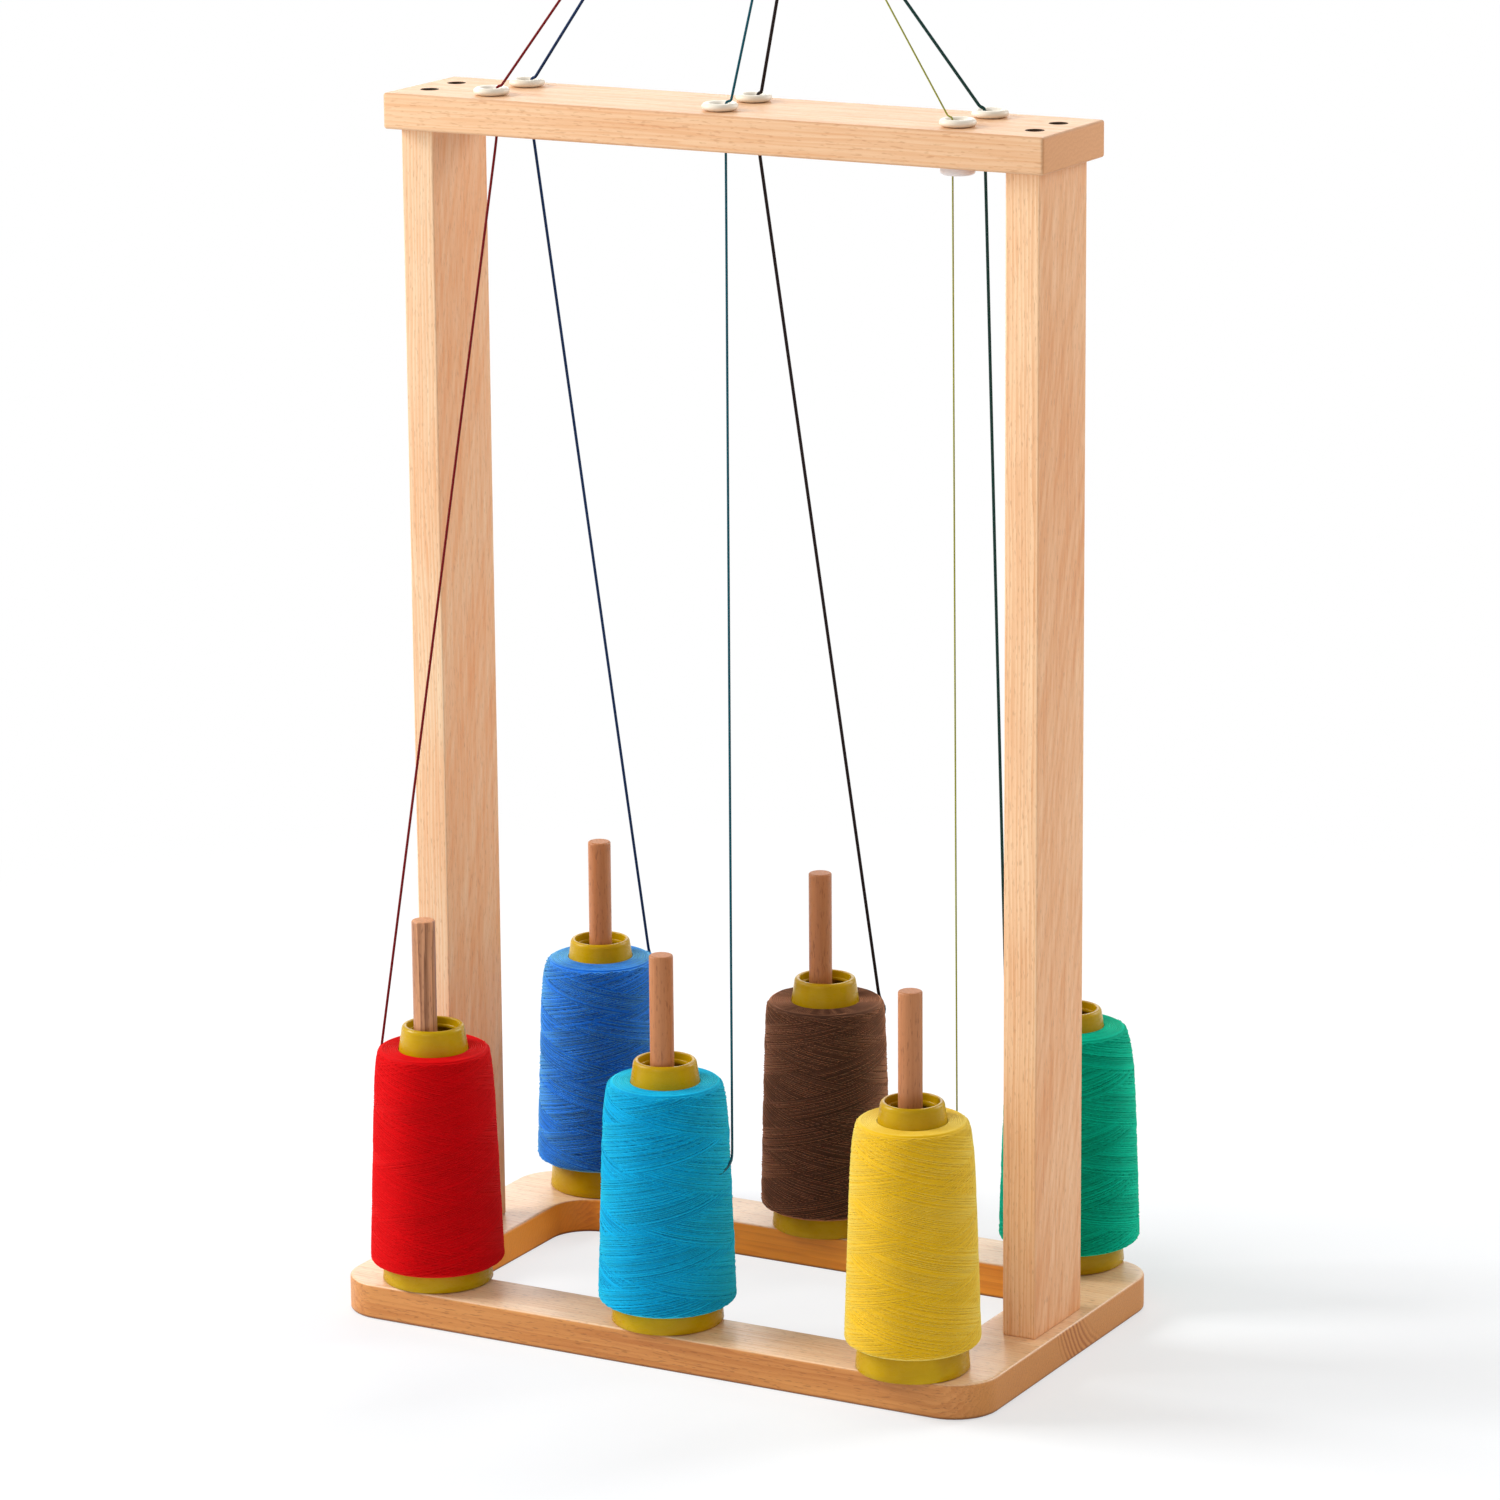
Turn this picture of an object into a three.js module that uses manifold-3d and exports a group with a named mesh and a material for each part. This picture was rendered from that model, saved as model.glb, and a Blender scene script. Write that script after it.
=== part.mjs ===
// A wooden stand for six cones of thread, in millimetres, +Z up.
// The origin is on the surface that it stands on, under the middle of the base frame.
// The front is -Y: red, cyan and yellow stand in front, blue, brown and green behind.
import * as THREE from 'three';
import Module from 'manifold-3d';
import { mergeVertices } from 'three/addons/utils/BufferGeometryUtils.js';

const wasm = await Module();
wasm.setup();

// Clearance between pieces that touch on the real stand
const FIT = 0.3;

// Base frame: one board, sawn out in the middle
const BASE_LENGTH = 325;
const BASE_DEPTH = 187;
const BASE_THICK = 16;
const SIDE_RAIL = 36.5;
const LONG_RAIL = 33;
const BASE_OUTER_RADIUS = 21;
const BASE_INNER_RADIUS = 18;
const EASED_EDGE = 0.8;

// Posts, one on each side rail, set in from the end of the base to the post's middle
const POST_INSET = 14;
const POST_THICK = 16;
const POST_DEPTH = 46.5;
const POST_HEIGHT = 515;

// Crossbar on the posts, past whose outer faces it reaches by its overhang
const CROSSBAR_OVERHANG = 5;
const CROSSBAR_DEPTH = 60.5;
const CROSSBAR_THICK = 16;

// Screws: two through the crossbar and two through the base into each post
const SCREW_SPACING = 23;
const SCREW_SHANK = 4;
const SCREW_HEAD = 7.4;
const SCREW_HEAD_HEIGHT = 2.6;
const SCREW_LENGTH = 36;
const COUNTERBORE = 8.4;
const COUNTERBORE_DEPTH = 6;

// Spool pins: dowels glued into blind sockets along the middle of the long rails
const PIN_DIAMETER = 10.6;
const PIN_HEIGHT = 169;
const PIN_CHAMFER = 0.7;
const PIN_SOCKET_DEPTH = 12;
const PIN_END_INSET = 41;

// Thread guides: eyelets with a rounded flange on the crossbar and a bell mouth. The outer ones
// are set in from the pins below them.
const GUIDE_INSET = 7.1;
const GUIDE_ROW_SPACING = 30.8;
const GUIDE_FLANGE = 16;
const GUIDE_FLANGE_HEIGHT = 4;
const GUIDE_BARREL = 10;
const GUIDE_BORE = 7;
const GUIDE_MOUTH = 12;
const GUIDE_SETBACK = 0.5;
const THREAD_OFF_WALL = 0.5;
const LOWER_RING = 15;
const LOWER_RING_HEIGHT = 4;

// Cone cores: tapered plastic tubes whose neck narrows faster, up to a rounded lip
const CORE_HEIGHT = 119;
const CORE_NECK = 11;
const CORE_FOOT_RADIUS = 24.5;
const CORE_NECK_RADIUS = 15.6;
const CORE_TOP_RADIUS = 13.9;
const CORE_WALL = 1.4;
const CORE_LIP_BORE_RADIUS = 11.7;
const CORE_LIP_DEPTH = 5;
const CORE_LIP_ROUND = 1.2;

// Thread packages wound on the cores: the shoulder rounds in over about three times its fade
const PACKAGE_RADIUS = 30.2;
const PACKAGE_TAPER = 0.034;
const SHOULDER_DROP = 2.4;
const SHOULDER_FADE = 7.5;
const RIM_ROUND = 1.5;
const HEEL_HEIGHT = 3;
const HEEL_DROP = 2.5;

// Outer layer of thread on each package
const WINDING_LOOPS = 5;
const WINDING_SIDES = 4;
const WINDING_THREAD = 1;
const TAKE_OFF_BEND = 2.6;

// Facets round a turned piece, and sides of a free thread
const ROUND = 20;
const SMALL_ROUND = 16;
const SCREW_ROUND = 12;
const CORNER_STEPS = 4;
const THREAD_SIDES = 8;

// Knot at the pulled end of each thread, in thread diameters
const KNOT_SIZE = 2.8;
const TAIL_LENGTH = 3.5;

const WOOD = { color: 0xe9bd90, roughness: 0.62 };
const DOWEL = { color: 0xc58a60, roughness: 0.55 };
const IVORY = { color: 0xf2ead8, roughness: 0.35 };
const STEEL = { color: 0x6b665f, roughness: 0.4, metalness: 0.9 };
const OLIVE = { color: 0xb9940f, roughness: 0.3 };

// One entry for each cone. column and row give its place in the pitch; drift is how far off
// that place its pin was drilled, and shift how far the loose cone stands from its pin.
// woundFrom and woundTo are heights on the core. The thread leaves the package at the angle
// takeOff, at the height leaves. Over its guide it is pulled to a point held above the stand.
const SPOOLS = [
  {
    name: 'red', color: 0xd01018, column: -1, row: -1, drift: [-0.3, 2], shift: [0.6, 5.5],
    woundFrom: 7.9, woundTo: 107.7, takeOff: 184, leaves: 101.7,
    thread: 1.0, pull: [37.3, 5.4, 49],
  },
  {
    name: 'blue', color: 0x1650b4, column: -1, row: 1, drift: [1.5, 2.5], shift: [-2.5, 4],
    woundFrom: 11, woundTo: 111.5, takeOff: 62, leaves: 104,
    thread: 1.1, pull: [36.8, -5.4, 46.8],
  },
  {
    name: 'cyan', color: 0x12a3d6, column: 0, row: -1, drift: [0.5, 0.5], shift: [-1.6, 5.3],
    woundFrom: 7.7, woundTo: 109.7, takeOff: 29, leaves: 74,
    thread: 0.8, pull: [14.8, 5.4, 53.6],
  },
  {
    name: 'brown', color: 0x4a2a1e, column: 0, row: 1, drift: [-1.6, -0.8], shift: [1.3, 2],
    woundFrom: 9.9, woundTo: 107.9, takeOff: 56, leaves: 103.5,
    thread: 1.2, pull: [15.8, -5.4, 51.5],
  },
  {
    name: 'yellow', color: 0xf4c800, column: 1, row: -1, drift: [1.3, -0.2], shift: [1.2, -0.4],
    woundFrom: 10.4, woundTo: 111.1, takeOff: 70, leaves: 104,
    thread: 0.8, pull: [-40.3, 5.4, 56.6],
  },
  {
    name: 'green', color: 0x069064, column: 1, row: 1, drift: [-0.1, 1.7], shift: [0.5, 4.9],
    woundFrom: 9.1, woundTo: 111, takeOff: 207, leaves: 101.5,
    thread: 1.2, pull: [-42.6, -5.4, 54.3],
  },
];

// Only the guide over the front right cone has a ring under the crossbar
const RINGED_GUIDE = 'yellow';

// Levels and places worked out from the sizes above
const POST_SPACING = BASE_LENGTH - 2 * POST_INSET;
const CROSSBAR_LENGTH = POST_SPACING + POST_THICK + 2 * CROSSBAR_OVERHANG;
const NECK_FOOT = CORE_HEIGHT - CORE_NECK;
const PIN_ROW_SPACING = BASE_DEPTH - LONG_RAIL;
const PIN_PITCH = BASE_LENGTH / 2 - PIN_END_INSET;
const GUIDE_PITCH = PIN_PITCH - GUIDE_INSET;
const BASE_TOP = BASE_THICK;
const POST_TOP = BASE_TOP + POST_HEIGHT;
const CROSSBAR_TOP = POST_TOP + CROSSBAR_THICK;
const GUIDE_ENTRY = POST_TOP - 1;
const MEETING = POST_TOP + CROSSBAR_THICK / 2;
const WINDING_STEPS = WINDING_LOOPS * ROUND;
const SIDES = { left: -1, right: 1 };
const ENDS = { front: -1, back: 1 };

const stand = new THREE.Group();

function addPiece(name, geometry, finish, parent = stand) {
  const piece = new THREE.Mesh(geometry, new THREE.MeshStandardMaterial(finish));
  piece.name = name;
  parent.add(piece);
  return piece;
}

// Joining and cutting solids

function solidOf(geometry) {
  const bare = geometry.clone();
  bare.deleteAttribute('normal');
  bare.deleteAttribute('uv');
  const merged = mergeVertices(bare);
  return new wasm.Manifold(new wasm.Mesh({
    numProp: 3,
    vertProperties: new Float32Array(merged.attributes.position.array),
    triVerts: new Uint32Array(merged.index.array),
  }));
}

function geometryOf(solid) {
  const mesh = solid.getMesh();
  const geometry = new THREE.BufferGeometry();
  geometry.setAttribute('position', new THREE.BufferAttribute(mesh.vertProperties, 3));
  geometry.setIndex(new THREE.BufferAttribute(mesh.triVerts, 1));
  return geometry;
}

function cut(geometry, cutters) {
  let solid = solidOf(geometry);
  for (const cutter of cutters) {
    solid = solid.subtract(solidOf(cutter));
  }
  return geometryOf(solid);
}

// Shapes that several pieces share

// Turned piece: the outline is a list of [radius, height], and it closes on itself
// or starts and ends on the axis. Its heights run up the outside.
function turned(outline, facets) {
  const points = outline.map(([radius, height]) => new THREE.Vector2(radius, height));
  if (outline[0][0] > 0) {
    points.push(points[0].clone());
  }
  return new THREE.LatheGeometry(points, facets).rotateX(Math.PI / 2);
}

// Upright cylinder used as a drill
function drill(diameter, bottom, top, x, y) {
  const bit = new THREE.CylinderGeometry(diameter / 2, diameter / 2, top - bottom, SMALL_ROUND);
  return bit.rotateX(Math.PI / 2).translate(x, y, (top + bottom) / 2);
}

function roundedRectangle(path, length, depth, radius) {
  const x = length / 2 - radius;
  const y = depth / 2 - radius;
  path.absarc(x, y, radius, 0, Math.PI / 2);
  path.absarc(-x, y, radius, Math.PI / 2, Math.PI);
  path.absarc(-x, -y, radius, Math.PI, 1.5 * Math.PI);
  path.absarc(x, -y, radius, 1.5 * Math.PI, 2 * Math.PI);
  path.closePath();
  return path;
}

// Flat board with its long edges eased all round, standing on bottom
function easedBoard(shape, thick, bottom) {
  const board = new THREE.ExtrudeGeometry(shape, {
    depth: thick - 2 * EASED_EDGE,
    curveSegments: CORNER_STEPS,
    bevelEnabled: true,
    bevelThickness: EASED_EDGE,
    bevelSize: EASED_EDGE,
    bevelOffset: -EASED_EDGE,
    bevelSegments: 1,
  });
  return board.translate(0, 0, bottom + EASED_EDGE);
}

// Boards

function screwPlaces() {
  const places = [];
  for (const [side, x] of Object.entries(SIDES)) {
    for (const [end, y] of Object.entries(ENDS)) {
      places.push({ side, end, x: x * POST_SPACING / 2, y: y * SCREW_SPACING / 2 });
    }
  }
  return places;
}

function pinPlace(spool) {
  return [
    spool.column * PIN_PITCH + spool.drift[0],
    spool.row * PIN_ROW_SPACING / 2 + spool.drift[1],
  ];
}

function guidePlace(spool) {
  return [spool.column * GUIDE_PITCH, spool.row * GUIDE_ROW_SPACING / 2];
}

function baseFrame() {
  const outline = roundedRectangle(new THREE.Shape(), BASE_LENGTH, BASE_DEPTH, BASE_OUTER_RADIUS);
  const innerLength = BASE_LENGTH - 2 * SIDE_RAIL;
  const innerDepth = BASE_DEPTH - 2 * LONG_RAIL;
  outline.holes.push(
    roundedRectangle(new THREE.Path(), innerLength, innerDepth, BASE_INNER_RADIUS));
  const holes = [];
  for (const spool of SPOOLS) {
    const [x, y] = pinPlace(spool);
    holes.push(drill(PIN_DIAMETER + 2 * FIT, BASE_TOP - PIN_SOCKET_DEPTH, BASE_TOP + 1, x, y));
  }
  for (const { x, y } of screwPlaces()) {
    holes.push(drill(COUNTERBORE, -1, COUNTERBORE_DEPTH, x, y));
    holes.push(drill(SCREW_SHANK + 2 * FIT, COUNTERBORE_DEPTH - 1, BASE_TOP + 1, x, y));
  }
  return cut(easedBoard(outline, BASE_THICK, 0), holes);
}

function post(x) {
  const halfThick = POST_THICK / 2;
  const halfDepth = POST_DEPTH / 2;
  const section = new THREE.Shape([
    new THREE.Vector2(halfThick, halfDepth - EASED_EDGE),
    new THREE.Vector2(halfThick - EASED_EDGE, halfDepth),
    new THREE.Vector2(EASED_EDGE - halfThick, halfDepth),
    new THREE.Vector2(-halfThick, halfDepth - EASED_EDGE),
    new THREE.Vector2(-halfThick, EASED_EDGE - halfDepth),
    new THREE.Vector2(EASED_EDGE - halfThick, -halfDepth),
    new THREE.Vector2(halfThick - EASED_EDGE, -halfDepth),
    new THREE.Vector2(halfThick, EASED_EDGE - halfDepth),
  ]);
  const bar = new THREE.ExtrudeGeometry(section, { depth: POST_HEIGHT, bevelEnabled: false });
  bar.translate(x, 0, BASE_TOP);
  const pilot = SCREW_SHANK + 2 * FIT;
  const lowerDepth = SCREW_LENGTH + COUNTERBORE_DEPTH - BASE_THICK + 2 * FIT;
  const upperDepth = SCREW_LENGTH + COUNTERBORE_DEPTH - CROSSBAR_THICK + 2 * FIT;
  const holes = [];
  for (const end of Object.values(ENDS)) {
    const y = end * SCREW_SPACING / 2;
    holes.push(drill(pilot, BASE_TOP - 1, BASE_TOP + lowerDepth, x, y));
    holes.push(drill(pilot, POST_TOP - upperDepth, POST_TOP + 1, x, y));
  }
  return cut(bar, holes);
}

function crossbar() {
  const outline = new THREE.Shape([
    new THREE.Vector2(CROSSBAR_LENGTH / 2, CROSSBAR_DEPTH / 2),
    new THREE.Vector2(-CROSSBAR_LENGTH / 2, CROSSBAR_DEPTH / 2),
    new THREE.Vector2(-CROSSBAR_LENGTH / 2, -CROSSBAR_DEPTH / 2),
    new THREE.Vector2(CROSSBAR_LENGTH / 2, -CROSSBAR_DEPTH / 2),
  ]);
  const holes = [];
  for (const spool of SPOOLS) {
    const [x, y] = guidePlace(spool);
    holes.push(drill(GUIDE_BARREL + 2 * FIT, POST_TOP - 1, CROSSBAR_TOP + 1, x, y));
  }
  for (const { x, y } of screwPlaces()) {
    holes.push(drill(COUNTERBORE, CROSSBAR_TOP - COUNTERBORE_DEPTH, CROSSBAR_TOP + 1, x, y));
    holes.push(drill(SCREW_SHANK + 2 * FIT, POST_TOP - 1, CROSSBAR_TOP - 1, x, y));
  }
  return cut(easedBoard(outline, CROSSBAR_THICK, POST_TOP), holes);
}

// Pan head screw, pointing down, with the underside of its head at height 0
function screw() {
  const shank = SCREW_SHANK / 2;
  const head = SCREW_HEAD / 2;
  return turned([
    [0, -SCREW_LENGTH],
    [shank, -SCREW_LENGTH + SCREW_SHANK],
    [shank, 0],
    [head, 0],
    [head, SCREW_HEAD_HEIGHT / 2],
    [head / 2, SCREW_HEAD_HEIGHT],
    [0, SCREW_HEAD_HEIGHT],
  ], SCREW_ROUND);
}

function spoolPin() {
  const radius = PIN_DIAMETER / 2;
  return turned([
    [0, FIT - PIN_SOCKET_DEPTH],
    [radius, FIT - PIN_SOCKET_DEPTH],
    [radius, PIN_HEIGHT - PIN_CHAMFER],
    [radius - PIN_CHAMFER, PIN_HEIGHT],
    [0, PIN_HEIGHT],
  ], SMALL_ROUND);
}

// Guides

// Eyelet with height 0 at the top of the crossbar; its barrel reaches down to -reach
function threadGuide(reach) {
  const flange = GUIDE_FLANGE / 2;
  const barrel = GUIDE_BARREL / 2;
  const bore = GUIDE_BORE / 2;
  const mouth = GUIDE_MOUTH / 2;
  const top = FIT + GUIDE_FLANGE_HEIGHT;
  const edge = GUIDE_FLANGE_HEIGHT / 4;
  return turned([
    [barrel, -reach],
    [barrel, FIT],
    [flange - edge, FIT],
    [flange, FIT + edge],
    [flange, top - 1.6 * edge],
    [mouth + 0.7 * (flange - mouth), top - 0.4 * edge],
    [mouth, top],
    [bore + 0.6 * (mouth - bore), top - edge],
    [bore + 0.2 * (mouth - bore), top - 2.2 * edge],
    [bore, FIT],
    [bore, -reach],
  ], SMALL_ROUND);
}

// Loose ring on the barrel of one guide, with height 0 at the underside of the crossbar
function lowerRing() {
  const outer = LOWER_RING / 2;
  const inner = GUIDE_BARREL / 2 + FIT;
  const round = LOWER_RING_HEIGHT / 3;
  const bottom = -FIT - LOWER_RING_HEIGHT;
  return turned([
    [inner, bottom],
    [outer - 1.5 * round, bottom],
    [outer - 0.4 * round, bottom + 0.6 * round],
    [outer, bottom + 1.6 * round],
    [outer, -FIT - 0.5],
    [outer - 0.5, -FIT],
    [inner, -FIT],
  ], SMALL_ROUND);
}

// Cones: heights are above the foot of the core

// The neck starts above the tube, and both are straight
function coreRadius(height) {
  if (height > NECK_FOOT) {
    return CORE_NECK_RADIUS + (CORE_TOP_RADIUS - CORE_NECK_RADIUS) * (height - NECK_FOOT) / CORE_NECK;
  }
  return CORE_FOOT_RADIUS + (CORE_NECK_RADIUS - CORE_FOOT_RADIUS) * height / NECK_FOOT;
}

function coneCore() {
  const lipFoot = CORE_HEIGHT - CORE_LIP_DEPTH;
  const lipSide = CORE_HEIGHT - CORE_LIP_ROUND;
  return turned([
    [coreRadius(0) - CORE_WALL, 0],
    [coreRadius(0), 0],
    [coreRadius(NECK_FOOT), NECK_FOOT],
    [coreRadius(lipSide), lipSide],
    [CORE_TOP_RADIUS - 0.3 * CORE_LIP_ROUND, CORE_HEIGHT - 0.3 * CORE_LIP_ROUND],
    [CORE_TOP_RADIUS - CORE_LIP_ROUND, CORE_HEIGHT],
    [CORE_LIP_BORE_RADIUS, CORE_HEIGHT - 0.5],
    [CORE_LIP_BORE_RADIUS, lipFoot],
    [CORE_LIP_BORE_RADIUS + 0.5, lipFoot - 0.5],
    [coreRadius(NECK_FOOT - 2) - CORE_WALL, NECK_FOOT - 2],
  ], ROUND);
}

// Radius of a package at a height: a straight taper, rounded in at the shoulder by an
// exponential of the distance from the top, and at the heel by a parabola
function packageRadius(spool, height) {
  const straight = PACKAGE_RADIUS - PACKAGE_TAPER * (height - spool.woundFrom);
  const shoulder = SHOULDER_DROP * Math.exp((height - spool.woundTo) / SHOULDER_FADE);
  const heel = Math.max(0, 1 - (height - spool.woundFrom) / HEEL_HEIGHT);
  return straight - shoulder - HEEL_DROP * heel ** 2;
}

// Plain body of a package, which leaves room outside it for the outer layer of thread
function packageBody(spool) {
  const layer = WINDING_THREAD;
  const top = spool.woundTo;
  const heights = [0, 0.35, 1].map((part) => spool.woundFrom + part * HEEL_HEIGHT);
  heights.push(...[3, 1.2, 0.4].map((fades) => top - fades * SHOULDER_FADE));
  const side = heights.map((height) => [packageRadius(spool, height) - layer, height]);
  const alongNeck = top > NECK_FOOT ? [[coreRadius(NECK_FOOT) + FIT, NECK_FOOT]] : [];
  const body = turned([
    [coreRadius(spool.woundFrom) + FIT, spool.woundFrom],
    ...side,
    [packageRadius(spool, top) - layer - 0.3 * RIM_ROUND, top - 0.4 * RIM_ROUND],
    [packageRadius(spool, top) - layer - RIM_ROUND, top],
    [coreRadius(top) + FIT, top],
    ...alongNeck,
  ], ROUND);
  return body.rotateZ(THREE.MathUtils.degToRad(spool.takeOff + 90));
}

// Threads

// Middle of the outer layer at a step of a winding. The steps end at the take-off, and they
// fall on the corners of the package's facets, so the layer lies evenly on its flats.
function windingPoint(spool, step) {
  const left = WINDING_STEPS - step;
  const angle = THREE.MathUtils.degToRad(spool.takeOff) - left * 2 * Math.PI / ROUND;
  const foot = spool.woundFrom + HEEL_HEIGHT;
  const height = foot + (spool.leaves - foot) * step / WINDING_STEPS;
  const radius = packageRadius(spool, height) - WINDING_THREAD / 2 + FIT;
  return new THREE.Vector3(radius * Math.cos(angle), radius * Math.sin(angle), height);
}

// The turns round the package, the bend in which the thread leaves it, and a straight end
function windingRoute(spool, leaving) {
  const points = [];
  for (let step = 0; step < WINDING_STEPS; step += 1) {
    points.push(windingPoint(spool, step));
  }
  const corner = windingPoint(spool, WINDING_STEPS);
  const back = points[WINDING_STEPS - 1].clone().sub(corner).normalize();
  const bend = new THREE.QuadraticBezierCurve3(
    corner.clone().addScaledVector(back, TAKE_OFF_BEND),
    corner,
    corner.clone().addScaledVector(leaving, TAKE_OFF_BEND),
  );
  points.push(...bend.getPoints(4));
  points.push(corner.clone().addScaledVector(leaving, TAKE_OFF_BEND + WINDING_THREAD));
  return points;
}

// Closed tube through the points, with rings carried along without twist
function tube(points, diameter, sides) {
  const tangents = points.map((point, i) => {
    const before = points[Math.max(0, i - 1)];
    const after = points[Math.min(points.length - 1, i + 1)];
    return after.clone().sub(before).normalize();
  });
  let across = new THREE.Vector3(0, 0, 1).cross(tangents[0]);
  if (across.length() < 0.1) {
    across = new THREE.Vector3(1, 0, 0).cross(tangents[0]);
  }
  across.normalize();
  const positions = [];
  const faces = [];
  points.forEach((point, i) => {
    across.addScaledVector(tangents[i], -across.dot(tangents[i])).normalize();
    const up = tangents[i].clone().cross(across);
    for (let k = 0; k < sides; k += 1) {
      const angle = 2 * Math.PI * k / sides;
      const spoke = across.clone().multiplyScalar(Math.cos(angle));
      spoke.addScaledVector(up, Math.sin(angle));
      positions.push(...point.clone().addScaledVector(spoke, diameter / 2).toArray());
      if (i > 0) {
        const next = (k + 1) % sides;
        const [a, b] = [(i - 1) * sides + k, (i - 1) * sides + next];
        faces.push(a, b, b + sides, a, b + sides, a + sides);
      }
    }
  });
  const last = (points.length - 1) * sides;
  for (let k = 1; k < sides - 1; k += 1) {
    faces.push(0, k + 1, k, last, last + k, last + k + 1);
  }
  const geometry = new THREE.BufferGeometry();
  geometry.setAttribute('position', new THREE.Float32BufferAttribute(positions, 3));
  geometry.setIndex(faces);
  return geometry;
}

// Least clear distance between two turns, measured between points of the middle line
function leastGap(points, diameter) {
  let least = Infinity;
  for (let i = 0; i < points.length; i += 1) {
    for (let k = i + ROUND / 2; k < points.length; k += 1) {
      least = Math.min(least, points[i].distanceTo(points[k]));
    }
  }
  return least - diameter;
}

// Level direction from the middle of a guide to the side that its thread is pulled to
function pullSide(spool) {
  return new THREE.Vector3(spool.pull[0], spool.pull[1], 0).normalize();
}

// Point of a thread in its guide. It keeps to the side that it is pulled to, off the wall.
function inGuide(spool, height) {
  const offset = GUIDE_BORE / 2 - THREAD_OFF_WALL - spool.thread / 2;
  return new THREE.Vector3(...guidePlace(spool), height).addScaledVector(pullSide(spool), offset);
}

// From the package up into the guide, ending straight where the upper stretch begins
function lowerThread(spool, takeOff, leaving) {
  const start = TAKE_OFF_BEND + WINDING_THREAD + FIT;
  return tube([
    takeOff.clone().addScaledVector(leaving, start),
    takeOff.clone().addScaledVector(leaving, start + 2 * spool.thread),
    inGuide(spool, GUIDE_ENTRY),
    inGuide(spool, GUIDE_ENTRY + 2),
    inGuide(spool, MEETING - FIT / 2),
  ], spool.thread, THREAD_SIDES);
}

// From the guide over its mouth to the point that it is held at, with a knot and a tail
function upperThread(spool) {
  const clear = FIT + spool.thread / 2;
  const crest = inGuide(spool, CROSSBAR_TOP + FIT + GUIDE_FLANGE_HEIGHT + clear);
  crest.addScaledVector(pullSide(spool), GUIDE_MOUTH / 2 - GUIDE_BORE / 2);
  const end = new THREE.Vector3(...guidePlace(spool), CROSSBAR_TOP);
  end.add(new THREE.Vector3(...spool.pull));
  const pull = end.clone().sub(crest).normalize();
  const thread = tube([
    inGuide(spool, MEETING + FIT / 2),
    inGuide(spool, CROSSBAR_TOP),
    inGuide(spool, CROSSBAR_TOP + GUIDE_FLANGE_HEIGHT / 2),
    inGuide(spool, CROSSBAR_TOP + GUIDE_FLANGE_HEIGHT).lerp(crest, 0.2),
    crest.clone().lerp(inGuide(spool, CROSSBAR_TOP + GUIDE_FLANGE_HEIGHT), 0.4),
    crest,
    crest.clone().addScaledVector(pull, 2),
    end.clone().addScaledVector(pull, TAIL_LENGTH),
  ], spool.thread, THREAD_SIDES);
  const knot = new THREE.SphereGeometry(KNOT_SIZE * spool.thread / 2, THREAD_SIDES, 4);
  return geometryOf(solidOf(thread).add(solidOf(knot.translate(end.x, end.y, end.z))));
}

// The stand itself

addPiece('base_frame', baseFrame(), WOOD);
addPiece('crossbar', crossbar(), WOOD);
for (const [side, x] of Object.entries(SIDES)) {
  addPiece(`${side}_post`, post(x * POST_SPACING / 2), WOOD);
}
for (const { side, end, x, y } of screwPlaces()) {
  const upper = addPiece(`crossbar_screw_${side}_${end}`, screw(), STEEL);
  upper.position.set(x, y, CROSSBAR_TOP - COUNTERBORE_DEPTH + FIT);
  const lower = addPiece(`base_screw_${side}_${end}`, screw(), STEEL);
  lower.position.set(x, y, COUNTERBORE_DEPTH - FIT);
  lower.rotation.x = Math.PI;
}

// Pins, guides, cones and threads

for (const spool of SPOOLS) {
  const [pinX, pinY] = pinPlace(spool);
  const [guideX, guideY] = guidePlace(spool);
  const dyed = { color: spool.color, roughness: 0.75 };
  const ringed = spool.name === RINGED_GUIDE;

  const pin = addPiece(`${spool.name}_pin`, spoolPin(), DOWEL);
  pin.position.set(pinX, pinY, BASE_TOP);

  const plainReach = CROSSBAR_THICK - GUIDE_SETBACK;
  const ringedReach = CROSSBAR_THICK + FIT + LOWER_RING_HEIGHT - GUIDE_SETBACK;
  const guide = addPiece(
    `${spool.name}_guide`, threadGuide(ringed ? ringedReach : plainReach), IVORY);
  guide.position.set(guideX, guideY, CROSSBAR_TOP);
  if (ringed) {
    const ring = addPiece(`${spool.name}_lower_ring`, lowerRing(), IVORY);
    ring.position.set(guideX, guideY, POST_TOP);
  }

  const cone = new THREE.Group();
  cone.position.set(pinX + spool.shift[0], pinY + spool.shift[1], BASE_TOP + FIT);
  stand.add(cone);
  addPiece(`${spool.name}_core`, coneCore(), OLIVE, cone);
  addPiece(`${spool.name}_package`, packageBody(spool), dyed, cone);

  const takeOff = windingPoint(spool, WINDING_STEPS).add(cone.position);
  const leaving = inGuide(spool, GUIDE_ENTRY).sub(takeOff).normalize();
  const route = windingRoute(spool, leaving);
  addPiece(`${spool.name}_winding`, tube(route, WINDING_THREAD, WINDING_SIDES), dyed, cone);
  console.log(`${spool.name}_winding: least gap to itself`,
    leastGap(route, WINDING_THREAD).toFixed(2), 'mm');
  addPiece(`${spool.name}_lower_thread`, lowerThread(spool, takeOff, leaving), dyed);
  addPiece(`${spool.name}_upper_thread`, upperThread(spool), dyed);
}

export default stand;
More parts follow.
